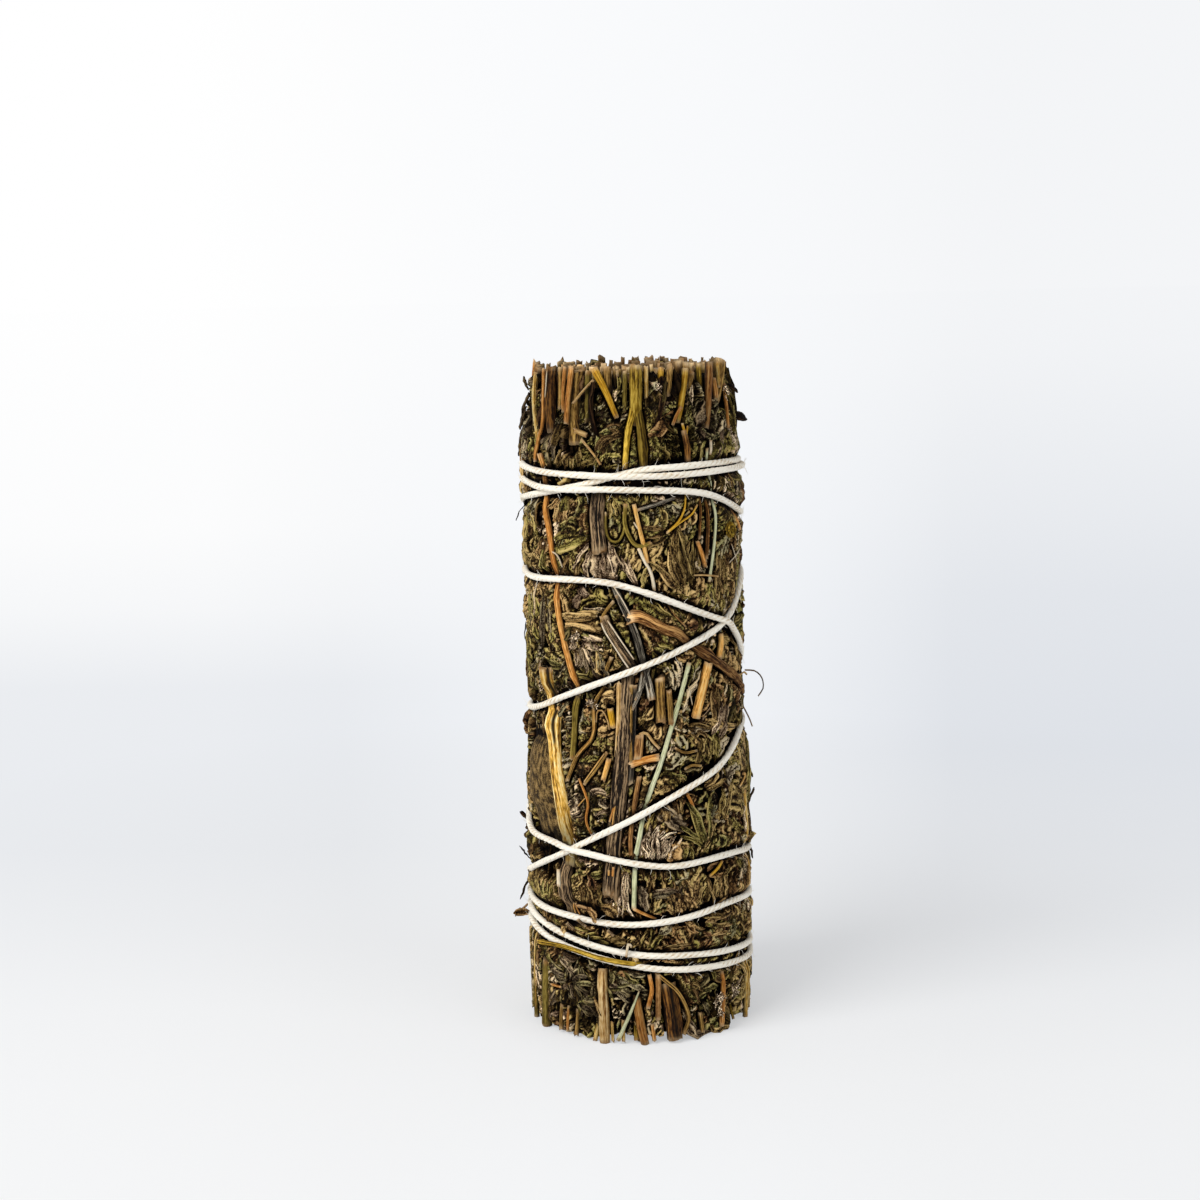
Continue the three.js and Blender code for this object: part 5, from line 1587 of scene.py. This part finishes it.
def leaf_material():
    s = Shader("dry_leaf")
    # hidden: painted shade from the shade map
    tone, bright, hidden = s.channels(s.attribute("tone"))
    grain = s.attribute("grain", "Vector")
    _, _, v = s.channels(grain)
    position = s.position()
    colour = s.ramp(tone, [(at, rgb(*shown)) for at, shown in LEAF_TONES])
    streak = s.noise(s.stretched(grain, (3.6, 0.5, 0.0)), 1.0, 3.0, 0.7)
    mottle = s.noise(position, 1500.0, 3.0, 0.65)
    speck = s.noise(position, 5200.0, 1.0, 0.6)
    patch = s.noise(position, 190.0, 1.0)
    edge = v.absolute() * 2
    # crease: painted shade along each lobe's middle; rim: a paler band near the edges, partly the pale
    # rolled edge and partly a painted highlight; border: painted shade at the very edge
    crease = 1 - (edge * 4.0).clamped()
    rim = (1 - (edge - 0.75).absolute() * 4.5).clamped()
    border = ((edge - 0.84) * 7.0).clamped()
    # level: the leaf's own streaks and mottling, with the painted highlight of the rim and the painted shade
    # of the crease and border
    level = (streak - 0.5) * 2.3 + (mottle - 0.5) * 1.1 + (speck - 0.5) * 1.7
    level = level + rim * 0.7 - crease * 0.4 - border * 0.8 + 0.58
    # light: level and brightness, darkened by painted shade from the map
    light = ((level.clamped() * bright) ** 2.3) * ((1 - hidden) ** 3.0) * ((patch - 0.5) * 2.4 + 1.0)
    light = (light * LEAF_LEVEL).at_most(BRIGHTEST)
    # the rim is also mixed towards pale tan: partly the pale rolled edge, partly a painted highlight
    colour = s.mix(rim * 0.25, colour, (*rgb(206, 172, 118), 1))
    # warm: the painted shade turns redder as it darkens
    warm = {0: light**0.91 + 0.004, 1: light * 0.98 + 0.0015, 2: light**1.05 + 0.001}
    colour = s.mix(1.0, colour, s.add("ShaderNodeCombineColor", {}, warm), "MULTIPLY")
    height = streak + mottle * 0.5 + rim * 0.3 - crease * 0.4
    return s.finish(colour, 0.75, height, 0.8, 0.00025, specular=0.04)


def share_of_turn(angle, start, count):
    """Which of count equal sectors from the start angle each angle lies in."""
    return np.floor(((angle - start) % 360) / (360 / count)).astype(int) % count


def column_of(angle, radius):
    """Index of the leaf column, or of the inner column after those, that a place belongs to."""
    outer = share_of_turn(angle, LEAF_START, LEAF_COLUMNS)
    inner = LEAF_COLUMNS + share_of_turn(angle, CORE_START, CORE_COLUMNS)
    return np.where(radius > CORE_RADIUS, outer, inner)


def column_mesh(index, skin, shade_map):
    """One closed column of packed leaves: its outer face from the map, rough ends, plain hidden sides, with
    painted shade on its face from the shade map, more towards the top, and dark painted shade over its ends
    and hidden sides.
    """
    outer = index < LEAF_COLUMNS
    count = LEAF_COLUMNS if outer else CORE_COLUMNS
    first = LEAF_START + 360 / count * index if outer else CORE_START + 360 / count * (index - LEAF_COLUMNS)
    front = index < LEAF_COLUMNS // 2
    around, up = (57, 520) if front else (42, 380) if outer else (26, 30)
    ends = 20 if outer else 16
    a = np.linspace(first, first + 360 / count, around)[:, None]
    foot = 0.1 + 0.55 * (0.5 + 0.5 * drift(a, 0 * a, 21, fine=2.2))
    top = HEIGHT - 3.0 + 1.0 * drift(a, 0 * a, 22, fine=2.2)
    z = foot + (top - foot) * np.linspace(0, 1, up)[None]
    cell = cells(a + 0 * z, z)
    inner_r = np.full_like(a, CORE_RADIUS - 0.05 if outer else 2.45)
    if outer:
        tuck = 1.4 * smooth(1 - (top - z) / 1.2) + 0.7 * smooth(1 - (z - foot) / 0.6)
        r = girth(z) - skin.depth[cell] - tuck
    else:
        r = np.full_like(z, CORE_RADIUS - 0.2)
    share = np.linspace(0, 1, ends + 2)[None, 1:-1]
    r_top = r[:, -1:] + (inner_r - r[:, -1:]) * share
    r_foot = inner_r + (r[:, :1] - inner_r) * share
    z_top = top - 0.9 * (0.5 + 0.5 * drift(a, r_top * 9, 23, fine=5)) * np.minimum(1, share * 3)
    z_foot = foot + 0.6 * (0.5 + 0.5 * drift(a, r_foot * 9, 24, fine=5)) * np.minimum(1, (1 - share) * 3)
    radius = np.concatenate([r, r_top, inner_r, inner_r, r_foot], 1)
    height = np.concatenate([z, z_top, top - 0.5, foot + 0.5, z_foot], 1)
    n, m = radius.shape
    side = spot(radius, a, height)
    middles = spot(13.0 if outer else 5.8, a[[0, -1], 0], HEIGHT / 2)
    # tone, brightness and painted shade: the ends and hidden sides are dark with painted shade
    tone = np.tile([0.15, 0.8, 0.75, 1.0], (n, m, 1))
    grain = np.stack(np.broadcast_arrays(np.degrees(np.radians(a)) * 0.3, height + radius, 0.0), -1)
    if outer:
        deep_end = smooth(1 - (top - z) / 1.0)
        tone[:, :up, 0], tone[:, :up, 1] = skin.marks["tone"][cell], skin.marks["bright"][cell]
        # painted shade from the map, and more towards the top of the face
        tone[:, :up, 2] = np.maximum(shade_map.at(side[:, :up]), 0.8 * deep_end)
        for axis, key in enumerate(("across", "along", "v")):
            grain[:, :up, axis] = skin.marks[key][cell]
    points = np.vstack([side.reshape(-1, 3), middles])
    tone = np.vstack([tone.reshape(-1, 4), np.tile([0.1, 0.5, 1, 1.0], (2, 1))])
    grain = np.vstack([grain.reshape(-1, 3), np.zeros((2, 3))])
    return points, tube_faces(n, m), grain, tone


def scatter(pick, count, low, high):
    """Even but irregular places over the bundle's side."""
    i = np.arange(count)
    a = (i * GOLDEN_SHARE % 1) * 360 + pick.normal(0, 2.5, count)
    z = low + (i + 0.5) / count * (high - low) + pick.normal(0, 0.9, count)
    order = pick.permutation(count)
    return (a[order] % 360) - 180, np.clip(z[order], low, high)


# Where the lobes lie in a swirl: centre and radius
SWIRLS = ((33, 46, 7.5), (12, 21.5, 3.6), (-128, 60, 7), (150, 34, 8), (-160, 76, 6))


def flow(angle, z):
    """Which way the lobes lie: degrees from straight up."""
    base = 36 * drift(angle, z, 11, fine=0.8) + 22 * drift(angle, z, 12, fine=2.0)
    base = base * (1 - 0.6 * smooth((-48 - angle) / 8) * smooth((z - 26) / 6))
    loose = smooth((94 - z) / 12) * smooth((z - 2) / 8)
    base = base * (0.25 + 0.75 * loose)
    for a0, z0, reach in SWIRLS:
        dx, dz = np.radians(on_front(angle - a0)) * OUTER_RADIUS, z - z0
        ring = np.degrees(np.arctan2(dz, -dx))  # along the circle round the centre
        weight = smooth(1.25 - np.hypot(dx, dz) / reach)
        base = base * (1 - weight) + ring * weight
    return base


def leaf_tone(pick, angle, z):
    """Colour position on the leaf ramp and brightness, drifting over the bundle."""
    count = np.size(angle)
    green, grey = drift(angle, z, 31, fine=0.9), drift(angle, z, 32, fine=0.7)
    tone = 0.47 + 0.1 * green + 0.07 * smooth((z - 58) / 8) + 0.15 * smooth((z - 84) / 5)
    tone = tone + pick.normal(0, 0.08, count)
    tone = np.where(pick.random(count) < 0.1, pick.uniform(0.05, 0.26, count), tone)
    tone = np.where(pick.random(count) < 0.12 + 0.25 * (grey > 0.4), pick.uniform(0.8, 0.93, count), tone)
    tone = np.where(pick.random(count) < 0.08, pick.uniform(0.62, 0.78, count), tone)
    bright = np.clip(0.9 + 0.1 * drift(angle, z, 33) + pick.normal(0, 0.24, count), 0.35, 1.7)
    return np.clip(tone, 0, 1), bright


def fans(pick, count, low, high, depth, size=1.0):
    """Leaves as fans of two to five lobes that lie side by side and curl together."""
    a, z = scatter(pick, count, low, high)
    owner, rank = members(pick.integers(2, 6, count))
    n = len(owner)
    heading = flow(a, z) + np.where(pick.random(count) < 0.6, 0, 180) + pick.normal(0, 25, count)
    curl = pick.normal(0, 60, count)
    hook = np.where(pick.random(count) < 0.3, pick.normal(0, 110, count), 0)
    broad = pick.choice([0.5, 0.85, 1.4, 2.5], count, p=[0.15, 0.32, 0.32, 0.21])
    width = (broad * pick.normal(1.0, 0.2, count))[owner] * pick.normal(1, 0.15, n)
    width = np.clip(width, 0.4, 3.2) * size
    longer = 1 + 0.8 * smooth((z - 84) / 4)
    length = (pick.gamma(4, 1.35, count) * longer)[owner] * pick.normal(1, 0.2, n)
    length = np.clip(length, 1.4, 14) * size
    turn = heading[owner] + rank * pick.uniform(2, 12.0, count)[owner]
    off = rank * width * pick.uniform(0.5, 0.95, count)[owner]
    slope = np.radians(heading[owner])
    tone, bright = leaf_tone(pick, a, z)
    d0 = (depth[0] + (depth[1] - depth[0]) * pick.random(count))[owner] + pick.normal(0, 0.12, n)
    return Lobes(
        angle=a[owner] + np.degrees(off * np.cos(slope) / MEAN_RADIUS),
        z=z[owner] - off * np.sin(slope) + pick.normal(0, 0.3, n),
        heading=turn + pick.normal(0, 8, n), curl=curl[owner] + pick.normal(0, 22, n) + rank * -8,
        hook=hook[owner] + pick.normal(0, 30, n),
        wave=pick.normal(0, 10, n) + np.where(pick.random(n) < 0.25, 26, 0),
        phase=pick.uniform(0, FULL_TURN, n),
        length=length, width=width, d0=d0, d1=d0 - pick.normal(0.0, 0.25, n),
        bow=pick.uniform(0, 0.25, n), roll=pick.normal(0, 28, n),
        tone=np.clip(tone[owner] + pick.normal(0, 0.04, n), 0, 1),
        bright=bright[owner] * pick.uniform(0.72, 1.28, n),
    )


def rim_strips(pick, n):
    """Strips of leaf that hang from the top rim, cut off level with it."""
    depth = pick.uniform(-0.3, 0.8, n)
    return Lobes(
        angle=pick.uniform(-180, 180, n), z=HEIGHT - 0.6 - pick.gamma(1.5, 0.6, n),
        heading=180 + pick.normal(0, 7, n), curl=pick.normal(0, 14, n),
        length=pick.uniform(4, 10, n), width=pick.uniform(0.8, 2.5, n),
        d0=depth, d1=depth + pick.normal(0.1, 0.3, n),
        bow=pick.uniform(0, 0.3, n), roll=pick.normal(0, 35, n),
        tone=pick.choice([0.06, 0.14, 0.5, 0.62, 0.72, 0.84], n), bright=pick.uniform(0.3, 0.9, n),
    )


def broad_lobes(rows):
    """The broad leaves, one per row of a table like BROAD_LEAVES."""
    a, z, heading, length, width, curl, roll, tone, bright, depth = np.array(rows, float).T
    return Lobes(
        angle=a, z=z, heading=heading, curl=curl, length=length, width=width,
        d0=depth + 0.3, d1=depth + 0.2, bow=0.1, roll=roll * 0.4, tone=tone, bright=bright,
    )


def thinned(lobes, pick):
    """Fewer lobes towards the top rim, where the bundle is open."""
    return lobes.some(pick.random(lobes.count) > 0.5 * smooth((lobes.z - 89) / 5))


def clear_of(lobes, strands, seed):
    """The lobes without most of those that would cross a strand, a map of its push."""
    a, z, _, _ = lobes.walk(8)
    crossing = strands.push[cells(a, np.clip(z, 0, HEIGHT))].max(1) > 0.3
    return lobes.some(~crossing | (np.random.default_rng(seed).random(lobes.count) < 0.3))


def lay_lobes(leaves, masters, lobes, press, seed, thick=(0.35, 0.65)):
    pick = np.random.default_rng(seed)
    which = pick.integers(0, len(masters), lobes.count)
    for k, master in enumerate(masters):
        some = lobes.some(which == k)
        points = lay(master, *some.paths(), some.width, some.width * pick.uniform(*thick, some.count))
        leaves.append((master, press.pressed(crumpled(points, 0.2)), some, LEAF_RADIUS))


def lay_broad(leaves, blade, lobes, press):
    points = lay(blade, *lobes.paths(), lobes.width, lobes.width * 0.55)
    leaves.append((blade, press.pressed(crumpled(points, 0.3, 1.3)), lobes, LEAF_RADIUS))


def lay_strays(leaves, masters, rows):
    """Tips that lift off the surface, one per row of a table like STRAYS."""
    a, z, heading, length, width, lift, tone, bright = np.array(rows, float).T
    lobes = Lobes(
        angle=a, z=z, heading=heading, curl=20, length=length, width=width,
        d0=0.3, d1=-lift, bow=0.1, tone=tone, bright=bright,
    )
    for k, master in enumerate(masters):
        some = lobes.some(np.arange(len(rows)) % len(masters) == k)
        points = crumpled(lay(master, *some.paths(), some.width, some.width * 0.4), 0.12)
        leaves.append((master, points, some, LEAF_RADIUS))


def lay_ends(leaves, masters, count, seed, top):
    """Lobes that stand upright across one end of the bundle."""
    pick = np.random.default_rng(seed)
    r = np.sqrt(pick.uniform(0.02, 1, count)) * (girth(HEIGHT if top else 2) - 0.6)
    a = pick.uniform(-180, 180, count)
    level = HEIGHT - 1.0 - pick.gamma(2, 0.7, count) if top else 0.6 + pick.gamma(2, 0.7, count)
    length = pick.uniform(3, 6, count)
    lean = pick.normal(0, 0.25, (2, count))
    lean = unit(np.stack([*lean, np.full(count, -1.0 if top else 1.0)], -1))
    bend = pick.normal(0, 0.9, (count, 3)) * (1, 1, 0)
    t = np.linspace(0, 1, 9)[None, :, None]
    path = spot(r, a, level)[:, None] + lean[:, None] * length[:, None, None] * t + bend[:, None] * t * t
    away = np.maximum(np.hypot(path[..., 0], path[..., 1]), 1e-6)
    path[..., :2] *= np.minimum(1, (girth(path[..., 2]) - 0.2) / away)[..., None]
    angle = pick.uniform(0, FULL_TURN, count)
    out = np.broadcast_to(np.stack([np.cos(angle), np.sin(angle), 0 * angle], -1)[:, None], path.shape)
    width = pick.uniform(0.8, 1.9, count)
    tone, bright = leaf_tone(pick, a, level)
    lobes = Lobes(angle=a, length=length, width=width, tone=tone, bright=bright * 1.05)
    which = pick.choice(len(masters), count)
    for k, master in enumerate(masters):
        m = which == k
        points = crumpled(lay(master, path[m][:, ::-1], out[m], width[m], width[m] * 0.45), 0.15)
        points[..., 2] = np.maximum(points[..., 2], 0.05)
        leaves.append((master, points, lobes.some(m), r[m]))


def make_leaf_pieces(leaves, skin, shade_map, material):
    """Gathers the laid copies and each column's body into one piece for each CAD column."""
    names = ["leaf_wad_%02d" % (c + 1) for c in range(LEAF_COLUMNS)]
    names += ["leaf_core_%d" % (c + 1) for c in range(CORE_COLUMNS)]
    parts = [[column_mesh(c, skin, shade_map)] for c in range(len(names))]
    for master, points, lobes, radius in leaves:
        index = column_of(lobes.angle, radius)
        for c in np.unique(index):
            some, laid = lobes.some(index == c), points[index == c]
            tone, bright = some.tone[:, None], some.bright[:, None]
            x = np.broadcast_to(master.points[:, 0], laid.shape[:2])
            across = x * some.width[:, None] + tone * LEAF_GRAINS[0]
            along = master.points[None, :, 1] * some.length[:, None] + bright * LEAF_GRAINS[1]
            grain = np.stack([across, along, x], -1).reshape(-1, 3)
            # the tone attribute: tone, brightness and painted shade from the shade map
            colour = np.stack(np.broadcast_arrays(tone, bright, shade_map.at(laid), 1.0), -1).reshape(-1, 4)
            parts[c].append((laid.reshape(-1, 3), master.copies(len(laid)), grain, colour))
    for name, pieces in zip(names, parts):
        points, triangles, grain, colour = merged(pieces)
        obj = make_mesh("sage_" + name, points, triangles, {"grain": grain, "tone": colour})
        stand_in(obj, [name], material)


def make_tufts(rows, master, material):
    """White woolly tufts: short curled threads round each place."""
    pick = np.random.default_rng(91)
    a, z, size = np.repeat(np.array(rows, float), 26, 0).T
    n = len(a)
    lobes = Lobes(
        angle=a + pick.normal(0, 0.8, n), z=z + pick.normal(0, 0.25, n), heading=pick.uniform(0, 360, n),
        curl=pick.normal(0, 120, n),
        length=size * pick.uniform(0.5, 1.2, n), width=pick.uniform(0.12, 0.24, n),
        d0=pick.uniform(-0.5, 0.2, n), d1=pick.uniform(-0.6, 0.2, n),
    )
    points = lay(master, *lobes.paths(6), lobes.width, lobes.width).reshape(-1, 3)
    looks = {"grain": np.zeros_like(points), "tone": np.tile([1.0, 1.9, 0.0, 1.0], (len(points), 1))}
    stand_in(make_mesh("woolly_tufts", points, master.copies(n), looks), [], material)


# Rings of the flower head: petals, reach, how far they stand up, lightness, which is partly the petals' own
# colour and partly painted light and shade on each ring
PETAL_RINGS = ((22, 1.25, 0.5, 0.8), (16, 0.95, 0.85, 1.15), (11, 0.6, 0.95, 0.4), (7, 0.3, 0.9, 0.9))


def make_flower_head(petal, bud_shape, material):
    """A dry button of short petals in rings round a bud."""
    pick = np.random.default_rng(93)
    seat = on_surface(59.0, 77.0, 0.2)
    front = np.array([math.sin(math.radians(50)), -math.cos(math.radians(50)), 0.1])
    flat = unit(np.cross(front, (0, 0, 1)))
    rise = np.cross(flat, front)
    rows = []
    for count, reach, up, light in PETAL_RINGS:
        for k in range(count):
            turn = 2 * math.pi * (k + pick.uniform(-0.3, 0.3)) / count
            rows.append((turn, reach, up, light * pick.uniform(0.6, 1.3)))
    turn, reach, up, light = np.array(rows).T[..., None]
    ways = flat * np.cos(turn) + rise * np.sin(turn)
    t = np.linspace(0, 1, 5)[None, :, None]
    path = seat + ways[:, None] * (reach[..., None] * (0.45 + 0.55 * t))
    path = path + front * (up[..., None] * (0.3 + 0.7 * np.sin(1.9 * t)))
    n = len(rows)
    petals = lay(petal, path, np.broadcast_to(front, path.shape), np.full(n, 0.42), np.full(n, 0.3))
    petals = petals.reshape(-1, 3)
    core = seat + crumpled(bud_shape.points * 1.7 - (0, 0.85, 0), 0.2)
    light = np.repeat(light, len(petal.points))[:, None]
    # the bud in the middle is darker than the petals: partly its own colour, partly painted shade
    points, triangles, light = merged([
        (petals, petal.copies(n), light), (core, bud_shape.triangles, np.full((len(core), 1), 0.2)),
    ])
    shade = np.hstack([light, 0 * light, 0 * light, 0 * light + 1])
    obj = make_mesh("flower_head_piece", points, triangles, {"grain": points, "shade": shade})
    stand_in(obj, ["flower_head"], material)


# ---------- floor and backdrop ----------
# Grey of the backdrop by nearness (0 at the horizon, 1 close to the viewer), on the left and on the right:
# painted light and shade, paler on the left than on the right, with a darker band at middle nearness on both
# sides.
BACKDROP_LEFT = (
    (0, 255), (0.26, 252), (0.34, 247), (0.42, 237), (0.59, 235), (0.68, 240), (0.76, 245), (0.85, 247),
)
BACKDROP_RIGHT = (
    (0, 245), (0.1, 243), (0.18, 239), (0.26, 235), (0.34, 230), (0.5, 226), (0.6, 230), (0.72, 238),
    (0.85, 245),
)


def backdrop(s, x, y, near):
    """Colour of what lies behind the bundle, in a direction and at a nearness: painted greys, and a painted
    pale glow straight behind the bundle.
    """
    sides = []
    for greys in (BACKDROP_LEFT, BACKDROP_RIGHT):
        cool = [(at, rgb(g - (255 - g) * 0.12, g, g + (255 - g) * 0.2)) for at, g in greys]
        sides.append(s.ramp(near, cool))
    turn = x / y.absolute().at_least(0.001)
    colour = s.mix(((turn + 0.2) * 2.7).clamped(), *sides)
    # painted glow: paler straight behind the bundle
    glow = (1.6 - (turn - 0.005).absolute() * 11.0).clamped() * (near * 2.0 + 0.6).clamped()
    return s.mix(glow * 0.48, colour, (*rgb(250, 252, 255), 1))


def seen_rays(s):
    """1 for rays that show the backdrop: straight, mirrored or through glass."""
    kinds = ("Is Camera Ray", "Is Glossy Ray", "Is Transmission Ray")
    camera, glossy, through = [s.add("ShaderNodeLightPath", {}, {}, kind) for kind in kinds]
    return (camera + glossy + through).clamped()


def make_floor():
    bpy.ops.object.select_all(action="DESELECT")
    bpy.ops.mesh.primitive_plane_add(size=12, location=(0, 0, -0.00005))
    floor = bpy.context.object
    floor.name = "floor"
    s = Shader("pale_paper")
    position = s.position()
    x, y, _ = s.channels(position, "ShaderNodeSeparateXYZ")
    s.bsdf.inputs["Base Color"].default_value = (0.92, 0.935, 0.955, 1)
    s.bsdf.inputs["Roughness"].default_value = 0.9
    reach = s.add("ShaderNodeVectorMath", {"operation": "LENGTH"}, {0: position}, "Value")
    far = ((reach - 0.02) * 5.0).clamped() * 0.55 + 0.45  # near the bundle the camera sees the floor's real shading and shadow only in part, mixed with painted backdrop grey that lightens the shadow; further out it sees only the painted grey
    away = y + CAMERA_BACK
    near = 0.25 / away.absolute().at_least(0.25).at_least(x.absolute())
    # the floor as the camera sees it glows with the painted backdrop
    glow = s.add("ShaderNodeEmission", {}, {"Color": backdrop(s, x, away, near)})
    paper = Value(s, s.bsdf.outputs[0])
    mixed = s.add("ShaderNodeMixShader", {}, {0: far * seen_rays(s), 1: paper, 2: glow})
    s.feed(s.tree.nodes["Material Output"].inputs[0], mixed)
    floor.data.materials.append(s.material)


def make_world():
    world = bpy.data.worlds.new("studio")
    bpy.context.scene.world = world
    s = Shader("studio", world)
    s.tree.nodes.clear()
    x, y, _ = s.channels(s.add("ShaderNodeTexCoord", {}, {}, "Generated"), "ShaderNodeSeparateXYZ")
    soft = s.add("ShaderNodeBackground", {}, {"Color": (1.0, 0.99, 0.97, 1), "Strength": WORLD_LIGHT})
    # the sky as the camera sees it is the painted backdrop
    seen = s.add("ShaderNodeBackground", {}, {"Color": backdrop(s, x, y, 0.0 * y), "Strength": 1.0})
    mixed = s.add("ShaderNodeMixShader", {}, {0: seen_rays(s), 1: soft, 2: seen})
    s.add("ShaderNodeOutputWorld", {}, {0: mixed})


# ---------- assembly ----------
def packed_skin(pick, bed):
    """The side's map, packed with leaves in three layers from the inside out."""
    skin = Skin()
    skin.stamp(fans(pick, 1000, 0.5, HEIGHT - 1, (1.5, 2.4)))
    for depth in ((0.8, 1.7), (0.4, 1.1)):
        skin.stamp(thinned(fans(pick, 1350, 0.5, HEIGHT - 1, depth), pick))
    skin.settle(bed.string_press, bed.stem_press)
    return skin


def laid_leaves(pick, bed):
    """The leaves that are laid over the side: scattered ones, strips at the rim, and those of the tables."""
    free = thinned(fans(np.random.default_rng(42), 520, 1.5, HEIGHT - 2, (0.1, 0.8), 0.95), pick)
    free = clear_of(free, bed.stem_press, 44)
    placed = placed_fans(FRONT_LEAVES, 45)
    broad = broad_lobes(BROAD_LEAVES)
    taken = Press()
    for lobes in (placed, broad):
        a, z, _, _ = lobes.walk(12)
        taken.push[cells(a, np.clip(z, 0, HEIGHT))] = 1
    taken.push = 8 * blurred(taken.push, 0.3)
    free = clear_of(free, taken, 50)
    strips = clear_of(rim_strips(np.random.default_rng(47), 130), bed.stem_press, 48)
    return free, strips, placed, broad


def cover_with(tops, press, groups):
    """Brings the map of the outermost depth out to the laid leaves."""
    for lobes in groups:
        a, z, depth, _ = lobes.walk(36)
        width = lobes.width[:, None]
        pushed = press.push[cells(a, np.clip(z, 0, HEIGHT))]
        cover(tops, a, z, depth + pushed - 0.15 * width, 0.42 * width * swell(np.linspace(0, 1, 37))[None])


bpy.context.scene.view_settings.view_transform = "Standard"
make_camera()
make_world()
make_floor()
area_light("key", (-0.55, -0.5, 0.68), (0, 0, 0.05), 0.6, KEY_WATTS, (1.0, 0.985, 0.96))
area_light("fill", (0.6, -0.5, 0.4), (0, 0, 0.05), 0.6, FILL_WATTS, (0.96, 0.98, 1.0))

path, route = string_path()
make_string(path)
bed = Bed(path, route)
stems = single_stems(bed) + inner_stems() + forked_stem(bed) + small_twigs(bed) + all_pegs()

curl = strap(6, tapering(8, 0.4, 0.7, 0.25, 0.06), crease=0.25, offset=math.pi / 6)
rolled = strap(5, tapering(8, 0.5, 0.5, 0.35, 0.25))
ribbon = strap(6, tapering(8, 0.6, 0.6, 0.15, 0.1), crease=0.1, offset=math.pi / 6)
cut_leaf = strap(6, tapering(7, 0.3, 0.6, 0.85, 0.15), crease=0.4, offset=math.pi / 6)
blade = leaf_blade()
lobe_shapes = (curl, rolled, ribbon)

pick = np.random.default_rng(41)
skin = packed_skin(pick, bed)
press = bed.string_press.joined(bed.stem_press)
free, strips, placed, broad = laid_leaves(pick, bed)
cover_with(bed.tops, press, (free, strips, placed, broad))
shade_map = Shade(np.minimum(bed.tops, skin.depth))

stem_materials = {look: stem_material(look) for look in LOOKS}
for name, pieces, look, nodes in stems:
    make_rods(name, pieces, nodes, stem_materials[look], shade_map)

leaves = []  # master, points of its copies, their lobes, and how far out they lie
lay_lobes(leaves, lobe_shapes, free, press, 43)
lay_lobes(leaves, (cut_leaf,), strips, press, 49)
lay_lobes(leaves, lobe_shapes, placed, press, 46, (0.5, 0.85))
lay_broad(leaves, blade, broad, press)
lay_strays(leaves, (curl, ribbon), STRAYS)
lay_ends(leaves, lobe_shapes, 250, 71, True)
lay_ends(leaves, lobe_shapes, 200, 72, False)
leaf = leaf_material()
make_leaf_pieces(leaves, skin, shade_map, leaf)
make_tufts(FLUFFS, rolled, leaf)
make_flower_head(rolled, bud(), stem_materials["forked"])
